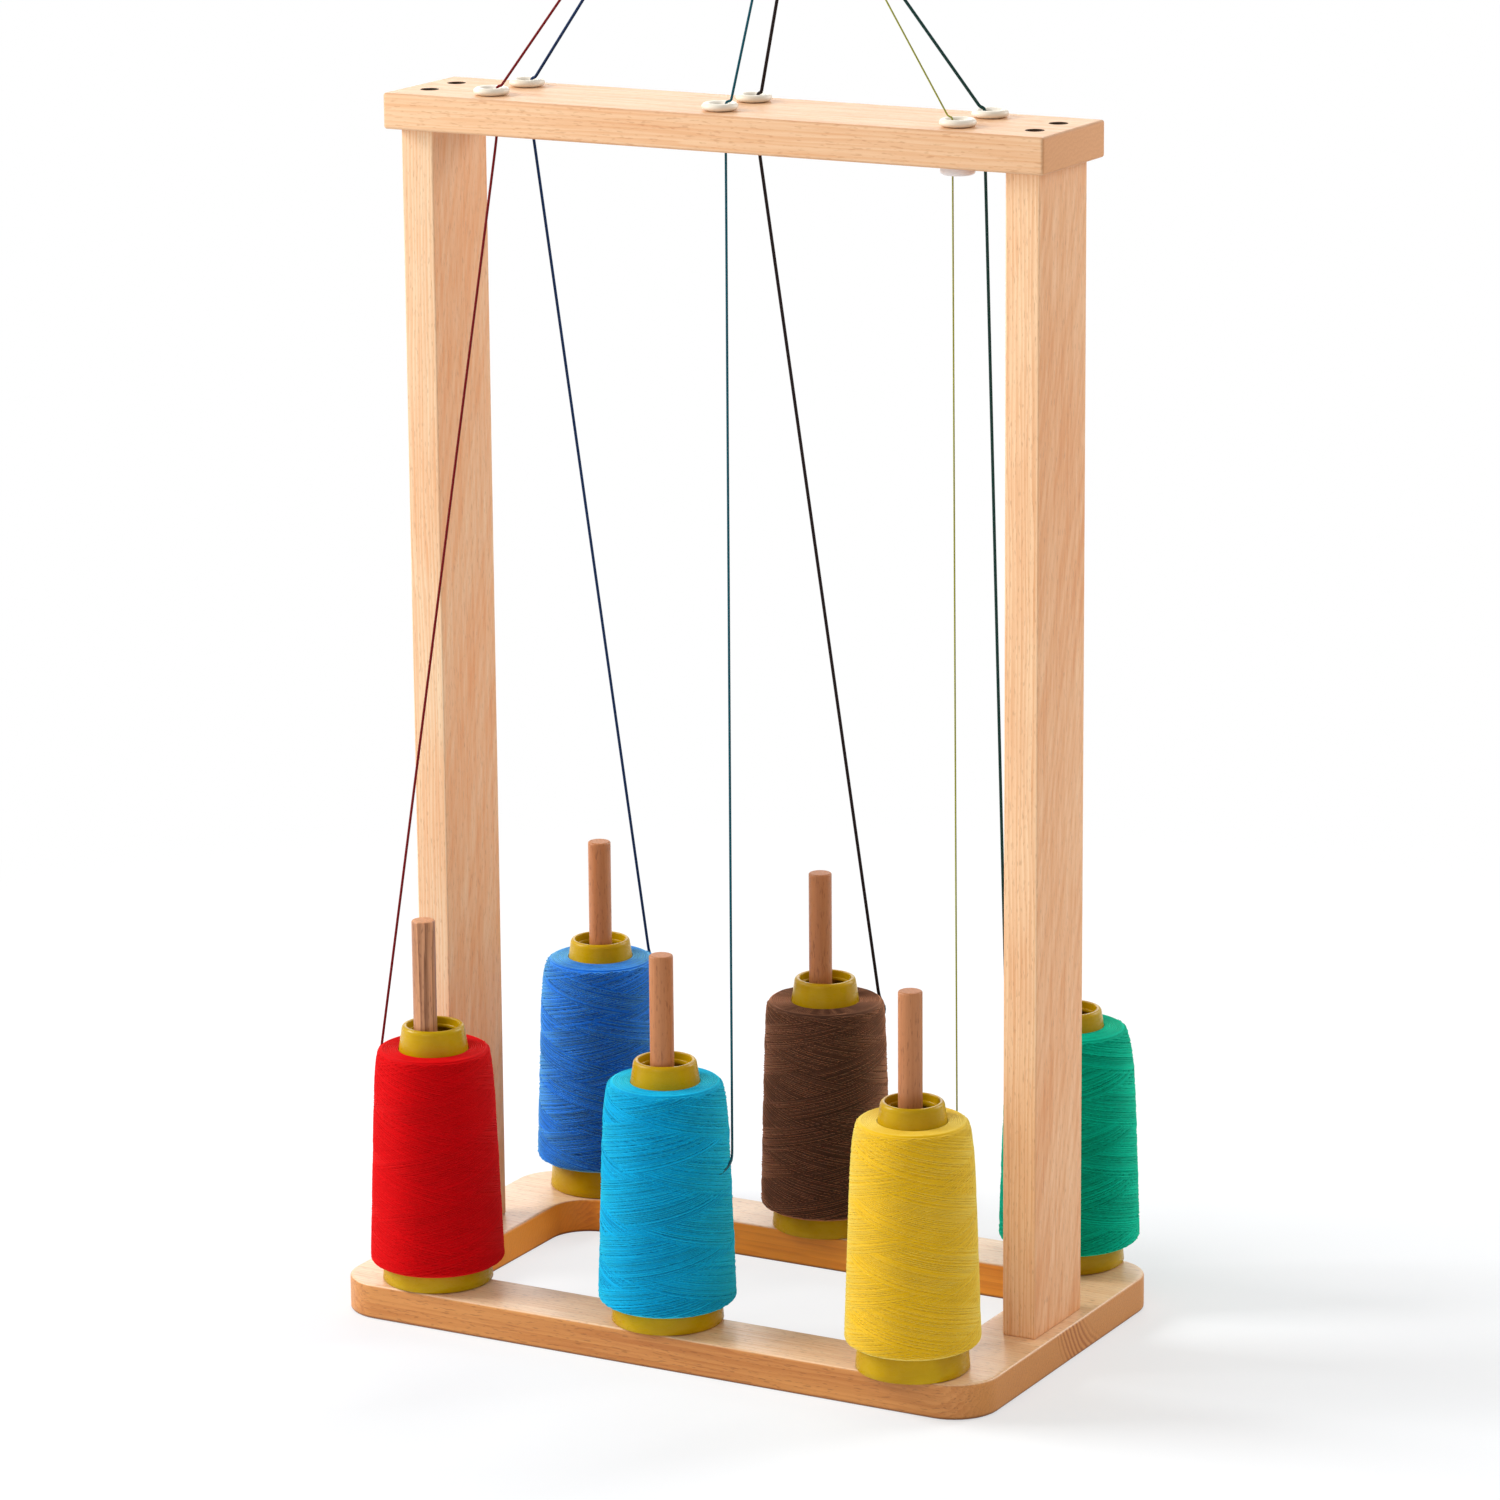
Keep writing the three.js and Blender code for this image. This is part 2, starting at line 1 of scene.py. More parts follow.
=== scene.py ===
# %% [markdown]
# # A wooden stand for six cones of thread
# The object is a frame of pale boards: a flat base with a window sawn out of it, two posts and
# a crossbar. Six dowels stand on the base, a cone of thread stands loose on each, and each
# thread runs up through a plastic guide in the crossbar to something that holds it taut.
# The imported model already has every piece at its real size. This script gives each piece its
# finish, and where a faceted solid is too plain, a finer surface takes its place.

# %% Load the frame
import bmesh
import bpy
import numpy as np
from mathutils import Matrix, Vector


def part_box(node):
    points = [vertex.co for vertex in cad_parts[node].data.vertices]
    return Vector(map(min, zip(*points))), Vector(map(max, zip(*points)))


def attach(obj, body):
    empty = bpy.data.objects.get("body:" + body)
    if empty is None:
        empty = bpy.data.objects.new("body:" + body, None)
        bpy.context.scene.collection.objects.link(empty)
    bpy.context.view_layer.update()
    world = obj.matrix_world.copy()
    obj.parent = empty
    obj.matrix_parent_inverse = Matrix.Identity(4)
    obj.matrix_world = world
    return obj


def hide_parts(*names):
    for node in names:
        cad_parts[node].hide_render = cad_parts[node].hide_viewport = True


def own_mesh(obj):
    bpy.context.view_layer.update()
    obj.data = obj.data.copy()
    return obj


scene = bpy.context.scene
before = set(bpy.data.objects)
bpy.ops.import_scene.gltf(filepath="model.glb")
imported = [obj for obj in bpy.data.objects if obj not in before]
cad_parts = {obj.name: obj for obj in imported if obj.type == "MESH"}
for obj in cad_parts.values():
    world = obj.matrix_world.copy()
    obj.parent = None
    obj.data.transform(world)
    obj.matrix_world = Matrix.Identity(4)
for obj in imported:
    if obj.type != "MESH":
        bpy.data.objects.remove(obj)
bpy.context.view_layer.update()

# %% [markdown]
# ## Places
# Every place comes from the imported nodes, so nothing can drift from the frame. A box gives a
# node's lowest and highest corner, which is enough for boards and for turned pieces.

# %% Places of the pieces
MM = 0.001
SPOOLS = ["red", "blue", "cyan", "brown", "yellow", "green"]


def corners(node):
    """Lowest and highest corner of a node, as arrays in metres."""
    low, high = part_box(node)
    return np.array(low), np.array(high)


def centre(node):
    """Middle of a node's box."""
    low, high = corners(node)
    return (low + high) / 2


def seat(node):
    """Middle of a node's underside."""
    return np.array([*centre(node)[:2], corners(node)[0][2]])


def height_of(node):
    """Height of a node in mm."""
    low, high = corners(node)
    return (high[2] - low[2]) / MM


def table(keys, **rows):
    """Rows of numbers as one small dictionary for each spool."""
    return {spool: dict(zip(keys.split(), row)) for spool, row in rows.items()}


base_low, base_high = corners("base_frame")
bar_low, bar_high = corners("crossbar")
bar_bottom, bar_top = bar_low[2], bar_high[2]
meeting = (bar_bottom + bar_top) / 2
print("base top", base_high[2], "crossbar", bar_bottom, bar_top)

# %% [markdown]
# ## Camera
# The photograph was taken from the front right, a little above the stand, from far away with a
# long lens. The numbers come from fitting a camera to the corners of the boards. A roll of
# half a degree is part of the fit, so it stays in the camera's own axes.

# %% Camera
VIEW_AZIMUTH, VIEW_ELEVATION, VIEW_ROLL = np.radians([28.57, 13.96, -0.454])
VIEW_DISTANCE = 2.7002
VIEW_TARGET = np.array([0.00387, 0, 0.26036])
VIEW_LENS = 146.11


def direction(turn, rise):
    """The way out from the stand, turned from its front towards its right, and raised."""
    return np.array([np.sin(turn) * np.cos(rise), -np.cos(turn) * np.cos(rise), np.sin(rise)])


def face_stand(thing, right, away, distance):
    """Put a camera or a lamp at a distance, so that it faces the middle of the stand."""
    axes = np.eye(4)
    axes[:3, :3] = np.column_stack([right, np.cross(away, right), away])
    axes[:3, 3] = VIEW_TARGET + distance * away
    thing.matrix_world = Matrix(axes.tolist())
    scene.collection.objects.link(thing)


toward_camera = direction(VIEW_AZIMUTH, VIEW_ELEVATION)
level_right = np.array([np.cos(VIEW_AZIMUTH), np.sin(VIEW_AZIMUTH), 0])
level_up = np.cross(toward_camera, level_right)
camera_right = np.cos(VIEW_ROLL) * level_right + np.sin(VIEW_ROLL) * level_up
camera = bpy.data.objects.new("camera", bpy.data.cameras.new("camera"))
camera.data.lens = VIEW_LENS
camera.data.sensor_width = 36
camera.data.clip_end = 60
face_stand(camera, camera_right, toward_camera, VIEW_DISTANCE)
scene.camera = camera
print("camera", VIEW_LENS, "mm lens,", VIEW_DISTANCE, "m away")

# %% [markdown]
# ## Surfaces from grids
# Most pieces here are turned or drawn: one outline goes round an axis or along a path. As
# a grid of points, every such piece is the same mesh, rows by columns. A row whose points
# all fall together closes the shape with a pole, and merging its doubles makes it a point.

# %% Grid to mesh


def surface(name, rows, closed=False, sharp=None, marks=None):
    """A piece through a grid of points. Columns wrap round, and rows wrap too when closed.
    marks are named numbers, one for each row or one for each point."""
    rows = np.asarray(rows, float)
    count, around = rows.shape[:2]
    index = np.arange(count * around).reshape(count, around)
    upper = np.roll(index, -1, axis=0) if closed else index[1:]
    lower = index if closed else index[:-1]
    faces = np.stack([
        lower, np.roll(lower, -1, axis=1), np.roll(upper, -1, axis=1), upper,
    ], axis=-1).reshape(-1, 4)
    mesh = bpy.data.meshes.new(name)
    mesh.from_pydata(rows.reshape(-1, 3).tolist(), [], faces.tolist())
    for label, values in (marks or {}).items():
        values = np.asarray(values, np.float32)
        if values.ndim == 1:
            values = np.repeat(values, around)
        mesh.attributes.new(label, "FLOAT", "POINT").data.foreach_set("value", values.ravel())
    work = bmesh.new()
    work.from_mesh(mesh)
    bmesh.ops.remove_doubles(work, verts=work.verts, dist=1e-7)
    bmesh.ops.recalc_face_normals(work, faces=work.faces)
    work.to_mesh(mesh)
    work.free()
    mesh.shade_smooth()
    if sharp is not None:
        mesh.set_sharp_from_angle(angle=np.radians(sharp))
    piece = bpy.data.objects.new(name, mesh)
    scene.collection.objects.link(piece)
    return piece


def round_section(path, across, diameter, sides):
    """Rings of points round a path: the middle plus cosine of one direction square to it and
    sine of the other. across is a direction that the path never runs along."""
    path = np.asarray(path, float)
    tangent = np.gradient(path, axis=0)
    tangent /= np.linalg.norm(tangent, axis=1, keepdims=True)
    side = np.cross(tangent, across)
    side /= np.linalg.norm(side, axis=1, keepdims=True)
    up = np.cross(side, tangent)
    angle = np.arange(sides) * 2 * np.pi / sides
    ring = (side[:, None] * np.cos(angle)[None, :, None]
            + up[:, None] * np.sin(angle)[None, :, None])
    return path[:, None] + ring * diameter / 2


def capped(rows):
    """The same rows with a pole before the first and after the last."""
    first = np.broadcast_to(rows[0].mean(axis=0), rows[0].shape)
    last = np.broadcast_to(rows[-1].mean(axis=0), rows[-1].shape)
    return np.concatenate([first[None], rows, last[None]])


# %% [markdown]
# ## Cords
# Each thread is two stretches that meet inside its guide. The lower one comes off the package
# as its last turn, bends upwards and runs straight to the guide. The upper one passes over the
# mouth of the guide to a small knot just above the view. The points repeat the route of the
# solids, since a thread held taut can only go straight from one support to the next.

# %% Thread routes
THREADS = table(
    "turn leaves thick pull",
    red=(184, 101.7, 1.2, (37.3, 5.4, 49.0)),
    blue=(62, 107.2, 1.35, (36.8, -5.4, 46.8)),
    cyan=(29, 74.0, 1.15, (14.8, 5.4, 53.6)),
    brown=(56, 103.5, 1.5, (15.8, -5.4, 51.5)),
    yellow=(70, 104.0, 0.75, (-40.3, 5.4, 56.6)),
    green=(207, 101.5, 1.45, (-42.6, -5.4, 54.3)),
)
PACKAGES = table(
    "foot neck rim wide at taper drop fade",
    red=(8.5, 107.8, 108.5, 30.22, 10.4, 0.0384, 1.54, 7.5),
    blue=(13.9, 112, 111.6, 30.69, 20.5, 0.036, 2.95, 6.1),
    cyan=(9.2, 109.7, 110.2, 30.7, 7.7, 0.034, 2.4, 7.5),
    brown=(9.9, 107.9, 108.2, 30.08, 14, 0.0262, 1.0, 9),
    yellow=(11.8, 111.1, 111.6, 29.8, 10.4, 0.034, 2.4, 7.5),
    green=(10.5, 111, 110.6, 31.5, 27, 0.0325, 3.8, 10),
)
HEEL_HEIGHT = 2.5
HEEL_DROP = 2.0
GUIDE_BORE_RADIUS = 3.5 * MM
GUIDE_MOUTH_RADIUS = 6.0 * MM
FLANGE_TOP = bar_top + 3.5 * MM
LIFT = 170 * MM
THREAD_OFF_WALL = 0.5 * MM
KNOT_TAIL = 3.5 * MM


def package_radius(spool, height):
    """Radius in mm at a height in mm above the core's foot: a straight taper, less an
    exponential of the distance below the rim, less a parabola in the last part of the heel."""
    shape = PACKAGES[spool]
    straight = shape["wide"] - shape["taper"] * (height - shape["at"])
    shoulder = shape["drop"] * np.exp(np.minimum(0, (height - shape["rim"]) / shape["fade"]))
    heel = np.clip(1 - (height - shape["foot"]) / HEEL_HEIGHT, 0, 1)
    return straight - shoulder - HEEL_DROP * heel ** 2


def bend(start, corner, end, steps=6):
    """A smooth corner: the parabola from start to end that leaves both towards the corner."""
    part = np.linspace(0, 1, steps)[:, None]
    return start * (1 - part) ** 2 + 2 * corner * part * (1 - part) + end * part ** 2


def rounded(points):
    """The path with its corners cut twice: each stretch keeps the middle half of its length."""
    points = np.asarray(points, float)
    for _ in range(2):
        before = 0.75 * points[:-1] + 0.25 * points[1:]
        after = 0.25 * points[:-1] + 0.75 * points[1:]
        middle = np.stack([before, after], axis=1).reshape(-1, 3)
        points = np.concatenate([points[:1], middle, points[-1:]])
    return points


def length_of(path):
    """Length of a path through its points."""
    return float(np.linalg.norm(np.diff(path, axis=0), axis=1).sum())


def level(vector):
    """The vector's direction along the floor, of unit length."""
    flat = np.array([vector[0], vector[1], 0.0])
    return flat / np.linalg.norm(flat)


def in_guide(spool, height):
    """Where a thread is in its guide at a height: on the side that it is pulled to."""
    thread = THREADS[spool]
    off = GUIDE_BORE_RADIUS - THREAD_OFF_WALL - thread["thick"] * MM / 2
    point = centre(f"{spool}_guide") + level(thread["pull"]) * off
    return np.array([point[0], point[1], height])


def lower_route(spool):
    """From the last turn on the package, up into the guide, to where the stretches meet. The
    turn starts sunk in the package, and the bend off it is three thread widths long."""
    thread = THREADS[spool]
    thick = thread["thick"] * MM
    axis = seat(f"{spool}_core")
    reach = package_radius(spool, thread["leaves"]) * MM + thick / 2
    arm = 3 * thick
    turn = np.radians(thread["turn"] - np.array([30, 24, 18, 12, 6, 0])) - arm / reach
    sunk = np.array([1.4, 1.0, 0.6, 0.3, 0.1, 0]) * thick
    rise = np.array([-3.5, -2.8, -2.1, -1.4, -0.7, 0]) * MM
    wound = np.stack([
        axis[0] + (reach - sunk) * np.cos(turn),
        axis[1] + (reach - sunk) * np.sin(turn),
        axis[2] + thread["leaves"] * MM + rise,
    ], axis=1)
    forward = np.array([-np.sin(turn[-1]), np.cos(turn[-1]), 0.25])
    corner = wound[-1] + arm * forward / np.linalg.norm(forward)
    entry = in_guide(spool, bar_bottom - 1 * MM)
    leaving = (entry - corner) / np.linalg.norm(entry - corner)
    bow = bend(wound[-1], corner, corner + arm * leaving)
    straight = [corner * (1 - part) + entry * part for part in (0.25, 0.5, 0.75, 0.98)]
    into = bend(straight[-1], entry, in_guide(spool, bar_bottom + 2 * MM), 4)
    return np.concatenate([wound[:-1], bow, straight[:-1], into,
                           [in_guide(spool, meeting - 0.15 * MM)]])


def upper_route(spool):
    """From the meeting point over the mouth of the guide, through the knot, to the tail. It
    also gives the knot's middle and the direction of the pull."""
    thread = THREADS[spool]
    clear = (0.3 + thread["thick"] / 2) * MM
    crest = in_guide(spool, FLANGE_TOP + clear)
    crest = crest + level(thread["pull"]) * (GUIDE_MOUTH_RADIUS - GUIDE_BORE_RADIUS)
    held = np.array([*centre(f"{spool}_guide")[:2], bar_top]) + np.array(thread["pull"]) * MM
    pull = (held - crest) / np.linalg.norm(held - crest)
    lip = in_guide(spool, FLANGE_TOP)
    path = rounded([
        in_guide(spool, meeting + 0.15 * MM),
        in_guide(spool, bar_top - 1 * MM),
        in_guide(spool, bar_top + 2 * MM),
        lip * 0.8 + crest * 0.2,
        crest * 0.6 + lip * 0.4,
        crest,
        crest + pull * 2 * MM,
        held + pull * KNOT_TAIL,
    ])
    return path, held, pull


# %% Threads as tubes
CORD_SIDES = 10


def thread_tube(name, path, across, thick):
    """A round thread along a path. Its attribute "along" is the distance from its start."""
    rows = capped(round_section(path, across, thick, CORD_SIDES))
    steps = np.linalg.norm(np.diff(path, axis=0), axis=1)
    along = np.concatenate([[0, 0], np.cumsum(steps), [steps.sum()]])
    return surface(name, rows, marks={"along": along})


def knot_ring(middle, pull, thick):
    """Closed centre line of a tight overhand knot: it goes twice round the thread while its
    distance from the thread and its height each swing three times."""
    step = np.arange(72) * 2 * np.pi / 72
    side = np.cross(pull, [0, 1, 0])
    side /= np.linalg.norm(side)
    other = np.cross(pull, side)
    reach = thick * (1.15 + 0.3 * np.cos(3 * step))
    return (middle + side * (reach * np.cos(2 * step))[:, None]
            + other * (reach * np.sin(2 * step))[:, None]
            + pull * (0.6 * thick * np.sin(3 * step))[:, None])


thread_pieces = {}
for spool, thread in THREADS.items():
    thick = thread["thick"] * MM
    turn = np.radians(thread["turn"])
    path = lower_route(spool)
    lower = thread_tube(f"{spool}_thread_below", path, [np.cos(turn), np.sin(turn), 0], thick)
    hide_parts(f"{spool}_lower_thread")
    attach(lower, f"{spool}_thread_end")
    low_end = float(path[:, 2].min())
    held = meeting - low_end
    (held - LIFT) / held
    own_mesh(lower)
    print(spool, "below:", len(path), "points", round(length_of(path), 4), "m")

    path, knot_middle, pull = upper_route(spool)
    upper = thread_tube(f"{spool}_thread_above", path, np.cross([0, 0, 1], level(pull)), thick)
    loop = knot_ring(knot_middle, pull, thick)
    rows = round_section(np.concatenate([loop[-1:], loop, loop[:1]]), pull, thick, 8)[1:-1]
    knot = surface(f"{spool}_knot", rows, closed=True)
    for piece in (upper, knot):
        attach(piece, "stand")
        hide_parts(f"{spool}_upper_thread")
    in_guide(spool, FLANGE_TOP)
    thread_pieces[spool] = [lower, upper, knot]
    print(spool, "above:", len(path), "points", round(length_of(path), 4), "m")

# %% [markdown]
# ## Boards
# A sawn board is a box whose edges have been eased with sandpaper. Each board is a row of
# closed outlines, drawn in by a little where an edge rounds over. For the base they carry on
# down the inside of its window. A last outline just inside each edge keeps the smooth shading
# off the flat faces.

# %% Outlines of boards
EASE = 1.2 * MM
FLAT_MARGIN = 1.0 * MM
BASE_OUTER_RADIUS = 21 * MM
BASE_INNER_RADIUS = 18 * MM
SIDE_RAIL = 36.5 * MM
LONG_RAIL = 33 * MM
POST_EASE = 0.8 * MM


def outline(low, high, radius, inset, height):
    """Rounded rectangle drawn in by inset: four quarter circles, joined by straight sides."""
    quarter = np.radians(np.linspace(0, 90, 11))
    turn = np.concatenate([quarter + k * np.pi / 2 for k in range(4)])
    radius_here = max(radius - inset, 1e-5)
    side = np.repeat([[1, 1], [-1, 1], [-1, -1], [1, -1]], len(quarter), axis=0)
    middle = (np.array(low[:2]) + high[:2]) / 2
    reach = (np.array(high[:2]) - low[:2]) / 2 - inset - radius_here
    flat = middle + side * reach + radius_here * np.stack([np.cos(turn), np.sin(turn)], axis=1)
    return np.column_stack([flat, np.full(len(flat), height)])


def side_rows(low, high, radius, ease, outward=1):
    """Outlines up one side of a board, from just inside its lower edge to just inside its
    upper one. At each edge the inset and the height follow a quarter circle."""
    quarter = np.radians(np.linspace(0, 90, 5))
    inset = ease * (1 - np.sin(quarter))
    rise = ease * (1 - np.cos(quarter))
    insets = [ease + FLAT_MARGIN, *inset, 0, 0, *inset[::-1], ease + FLAT_MARGIN]
    heights = [low[2], *(low[2] + rise), low[2] + ease + FLAT_MARGIN,
               high[2] - ease - FLAT_MARGIN, *(high[2] - rise[::-1]), high[2]]
    return [outline(low, high, radius, outward * i, h) for i, h in zip(insets, heights)]


def rectangle_distance(points, low, high, radius):
    """Distance inside a rounded rectangle, from points to its nearest side."""
    middle = (np.array(low[:2]) + high[:2]) / 2
    reach = (np.array(high[:2]) - low[:2]) / 2 - radius
    past = np.abs(points[:, :2] - middle) - reach
    outside = np.linalg.norm(np.maximum(past, 0), axis=1)
    return radius - outside - np.minimum(past.max(axis=1), 0)


# %% [markdown]
# ## Holes
# Holes are drilled with a Boolean modifier that is applied at once, so that no hole depends on
# a hidden object later. One cutter mesh holds all the drills of a board. Each drill is a turned
# outline, so a counterbore and its clearance hole are one drill with a step.

# %% Drilling and edge wear
DRILL_SIDES = 40


def turned_rows(profile, place, around):
    """A turned piece: each [radius, height] of its profile becomes a ring round the axis."""
    profile = np.asarray(profile, float)
    turn = np.arange(around) * 2 * np.pi / around
    x = place[0] + profile[:, :1] * np.cos(turn)
    y = place[1] + profile[:, :1] * np.sin(turn)
    z = np.repeat(place[2] + profile[:, 1:], around, axis=1)
    return np.stack([x, y, z], axis=-1)


def drill_holes(board, *drills):
    """Cut turned drills out of a board. Each drill is a profile in mm, with heights from the
    floor, and the nodes whose axes it follows."""
    cutters = []
    for profile, nodes in drills:
        for node in nodes:
            rows = turned_rows(np.array(profile) * MM, (*centre(node)[:2], 0), DRILL_SIDES)
            cutters.append(surface("drill", rows))
    with bpy.context.temp_override(active_object=cutters[0], selected_editable_objects=cutters):
        bpy.ops.object.join()
    cutter = cutters[0]
    cut = board.modifiers.new("drill", "BOOLEAN")
    cut.operation = "DIFFERENCE"
    cut.solver = "EXACT"
    cut.object = cutter
    depsgraph = bpy.context.evaluated_depsgraph_get()
    mesh = bpy.data.meshes.new_from_object(board.evaluated_get(depsgraph))
    board.modifiers.clear()
    board.data = mesh
    mesh.shade_smooth()
    mesh.set_sharp_from_angle(angle=np.radians(40))
    bpy.data.objects.remove(cutter)


def bore(*steps):
    """Profile of a drill: each step is a radius, where it starts and where it ends, in mm."""
    ends = [(radius, height) for radius, low, high in steps for height in (low, high)]
    return [(0, ends[0][1]), *ends, (0, ends[-1][1])]


def mark_edges(board, distances):
    """Attribute "edge": 1 on the arris between two faces, 0 from EASE away. distances has a
    column for each face, and the second smallest is small only near an arris."""
    second = np.sort(distances, axis=1)[:, 1]
    layer = board.data.attributes.new("edge", "FLOAT", "POINT")
    layer.data.foreach_set("value", np.clip(1 - second / EASE, 0, 1).astype(np.float32))


def vertices_of(piece):
    """The points of a mesh as an array."""
    points = np.empty(len(piece.data.vertices) * 3, np.float32)
    piece.data.vertices.foreach_get("co", points)
    return points.reshape(-1, 3).astype(float)


# %% Base frame
PIN_HOLE = 5.7
SOCKET_FLOOR = 4.0
COUNTERBORE = 4.2
COUNTERBORE_DEPTH = 6
CLEARANCE_HOLE = 2.3
BOARD_TOP = 17

window_low = base_low + np.array([SIDE_RAIL, LONG_RAIL, 0])
window_high = base_high - np.array([SIDE_RAIL, LONG_RAIL, 0])
outside = side_rows(base_low, base_high, BASE_OUTER_RADIUS, EASE)
inside = side_rows(window_low, window_high, BASE_INNER_RADIUS, EASE, outward=-1)
base = surface("base_board", outside + inside[::-1], closed=True, sharp=40)
screw_nodes = [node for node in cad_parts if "screw" in node]
base_screws = [node for node in screw_nodes if "base" in node]
bar_screws = [node for node in screw_nodes if "crossbar" in node]
pin_drill = bore((PIN_HOLE, SOCKET_FLOOR, BOARD_TOP))
base_drill = bore((COUNTERBORE, -1, COUNTERBORE_DEPTH),
                  (CLEARANCE_HOLE, COUNTERBORE_DEPTH, BOARD_TOP))
drill_holes(base, (pin_drill, [f"{spool}_pin" for spool in SPOOLS]), (base_drill, base_screws))
points = vertices_of(base)
mark_edges(base, np.column_stack([
    rectangle_distance(points, base_low, base_high, BASE_OUTER_RADIUS),
    -rectangle_distance(points, window_low, window_high, BASE_INNER_RADIUS),
    points[:, 2] - base_low[2],
    base_high[2] - points[:, 2],
]))
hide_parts("base_frame")
print("base board", len(base.data.polygons), "faces")

# %% Crossbar and posts
BAR_CORNER = 1.5 * MM
GUIDE_HOLE = 5.2
PILOT = 2.3
PILOT_DEPTH = 26.6


def box_faces(piece, low, high):
    """Distance from each point of a piece to the six faces of its box, one column a face."""
    points = vertices_of(piece)
    return np.column_stack([points - low, high - points])


bar = surface("crossbar_board", capped(side_rows(bar_low, bar_high, BAR_CORNER, EASE)), sharp=40)
top, bottom = bar_top / MM, bar_bottom / MM
seat_of_head = top - COUNTERBORE_DEPTH
guide_drill = bore((GUIDE_HOLE, bottom - 1, top + 1))
bar_drill = bore((CLEARANCE_HOLE, bottom - 1, seat_of_head), (COUNTERBORE, seat_of_head, top + 1))
drill_holes(bar, (guide_drill, [f"{spool}_guide" for spool in SPOOLS]), (bar_drill, bar_screws))
mark_edges(bar, box_faces(bar, bar_low, bar_high))
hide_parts("crossbar")

posts = []
for side in ("left", "right"):
    low, high = corners(f"{side}_post")
    rows = side_rows(low, high, POST_EASE, POST_EASE)
    post = surface(f"{side}_post_board", capped(rows), sharp=40)
    foot, head = low[2] / MM, high[2] / MM
    foot_drill = bore((PILOT, foot - 1, foot + PILOT_DEPTH))
    head_drill = bore((PILOT, head - PILOT_DEPTH, head + 1))
    drill_holes(post, (foot_drill, [node for node in base_screws if side in node]),
                (head_drill, [node for node in bar_screws if side in node]))
    mark_edges(post, box_faces(post, low, high))
    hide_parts(f"{side}_post")
    posts.append(post)
print("crossbar", len(bar.data.polygons), "faces, posts", len(posts[0].data.polygons))

# %% [markdown]
# ## Turned pieces
# Dowels, guides, cores and screws come off a lathe or out of a round mould, so each is one
# profile turned round its axis. The Spin or Screw tool would do the same by hand. Here the
# profile is a list of radius and height, and an arc in it is a few points of a circle.

# %% Pins
PIN_RADIUS = 5.3
PIN_END = 0.9


def arc(middle, reach, start, end, steps):
    """Points of a quarter of an ellipse or less: the middle plus reach times cosine and sine."""
    turn = np.radians(np.linspace(start, end, steps))
    return np.column_stack([middle[0] + reach[0] * np.cos(turn),
                            middle[1] + reach[1] * np.sin(turn)]).tolist()


def turned(name, profile, node, around=64, sharp=35):
    """A turned piece from a profile in mm, with height 0 at the lowest point of a node."""
    rows = turned_rows(np.array(profile) * MM, seat(node), around)
    piece = surface(name, rows, sharp=sharp, closed=profile[0][0] > 0)
    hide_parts(node)
    return piece


pins = []
for spool in SPOOLS:
    tall = height_of(f"{spool}_pin")
    profile = [[0, 0], [PIN_RADIUS - 0.5, 0], [PIN_RADIUS, 0.5], [PIN_RADIUS, tall / 2],
               [PIN_RADIUS, tall - PIN_END - 0.5]]
    profile += arc((PIN_RADIUS - PIN_END, tall - PIN_END), (PIN_END, PIN_END), 0, 80, 5)
    profile += [[PIN_RADIUS - 1.6, tall - 0.02], [0, tall]]
    pins.append(turned(f"{spool}_dowel", profile, f"{spool}_pin"))
print("pins", len(pins), "tall", tall)

# %% Guides
# A guide is a moulded eyelet. Its flange is round like a bead on the outside, and runs down
# into the bore in a bell, so that the thread never meets an edge. The solid's flange is 4 mm.
FLANGE_TALL = 4

guides = []
for spool in SPOOLS:
    reach = height_of(f"{spool}_guide") - FLANGE_TALL
    profile = [[3.5, 0], [5, 0], [5, reach - 0.3], [5, reach], [6.2, reach]]
    profile += arc((6.1, reach + 1.5), (1.9, 1.5), -88, 0, 7)[1:]
    profile += arc((6.1, reach + 1.5), (1.9, 1.7), 0, 90, 9)[1:]
    profile += arc((6.1, reach + 0.2), (-2.6, 3.0), 90, 0, 9)[1:]
    profile += [[3.5, reach / 2]]
    guides.append(turned(f"{spool}_eyelet", profile, f"{spool}_guide", sharp=60))
profile = [[5.3, 4], [5.3, 0.3], [5.6, 0]]
profile += arc((6.0, 1.5), (1.5, 1.5), -88, 0, 6)
profile += arc((6.9, 3.4), (0.6, 0.6), 0, 90, 4)
ring = turned("yellow_collar", profile, "yellow_lower_ring", sharp=60)
print("guides", len(guides), "reach", reach)

# %% Screws
# A screw's thread is a helix, so its radius depends on height and angle together: the shank's
# radius plus a triangle wave of the height less a share of the turn. The cross in its head is
# a dip where a point is close to one of two crossed lines.
SCREW_PITCH = 1.6
SCREW_LENGTH = 36.0
SCREW_CORE = 1.45
SCREW_CREST = 0.55


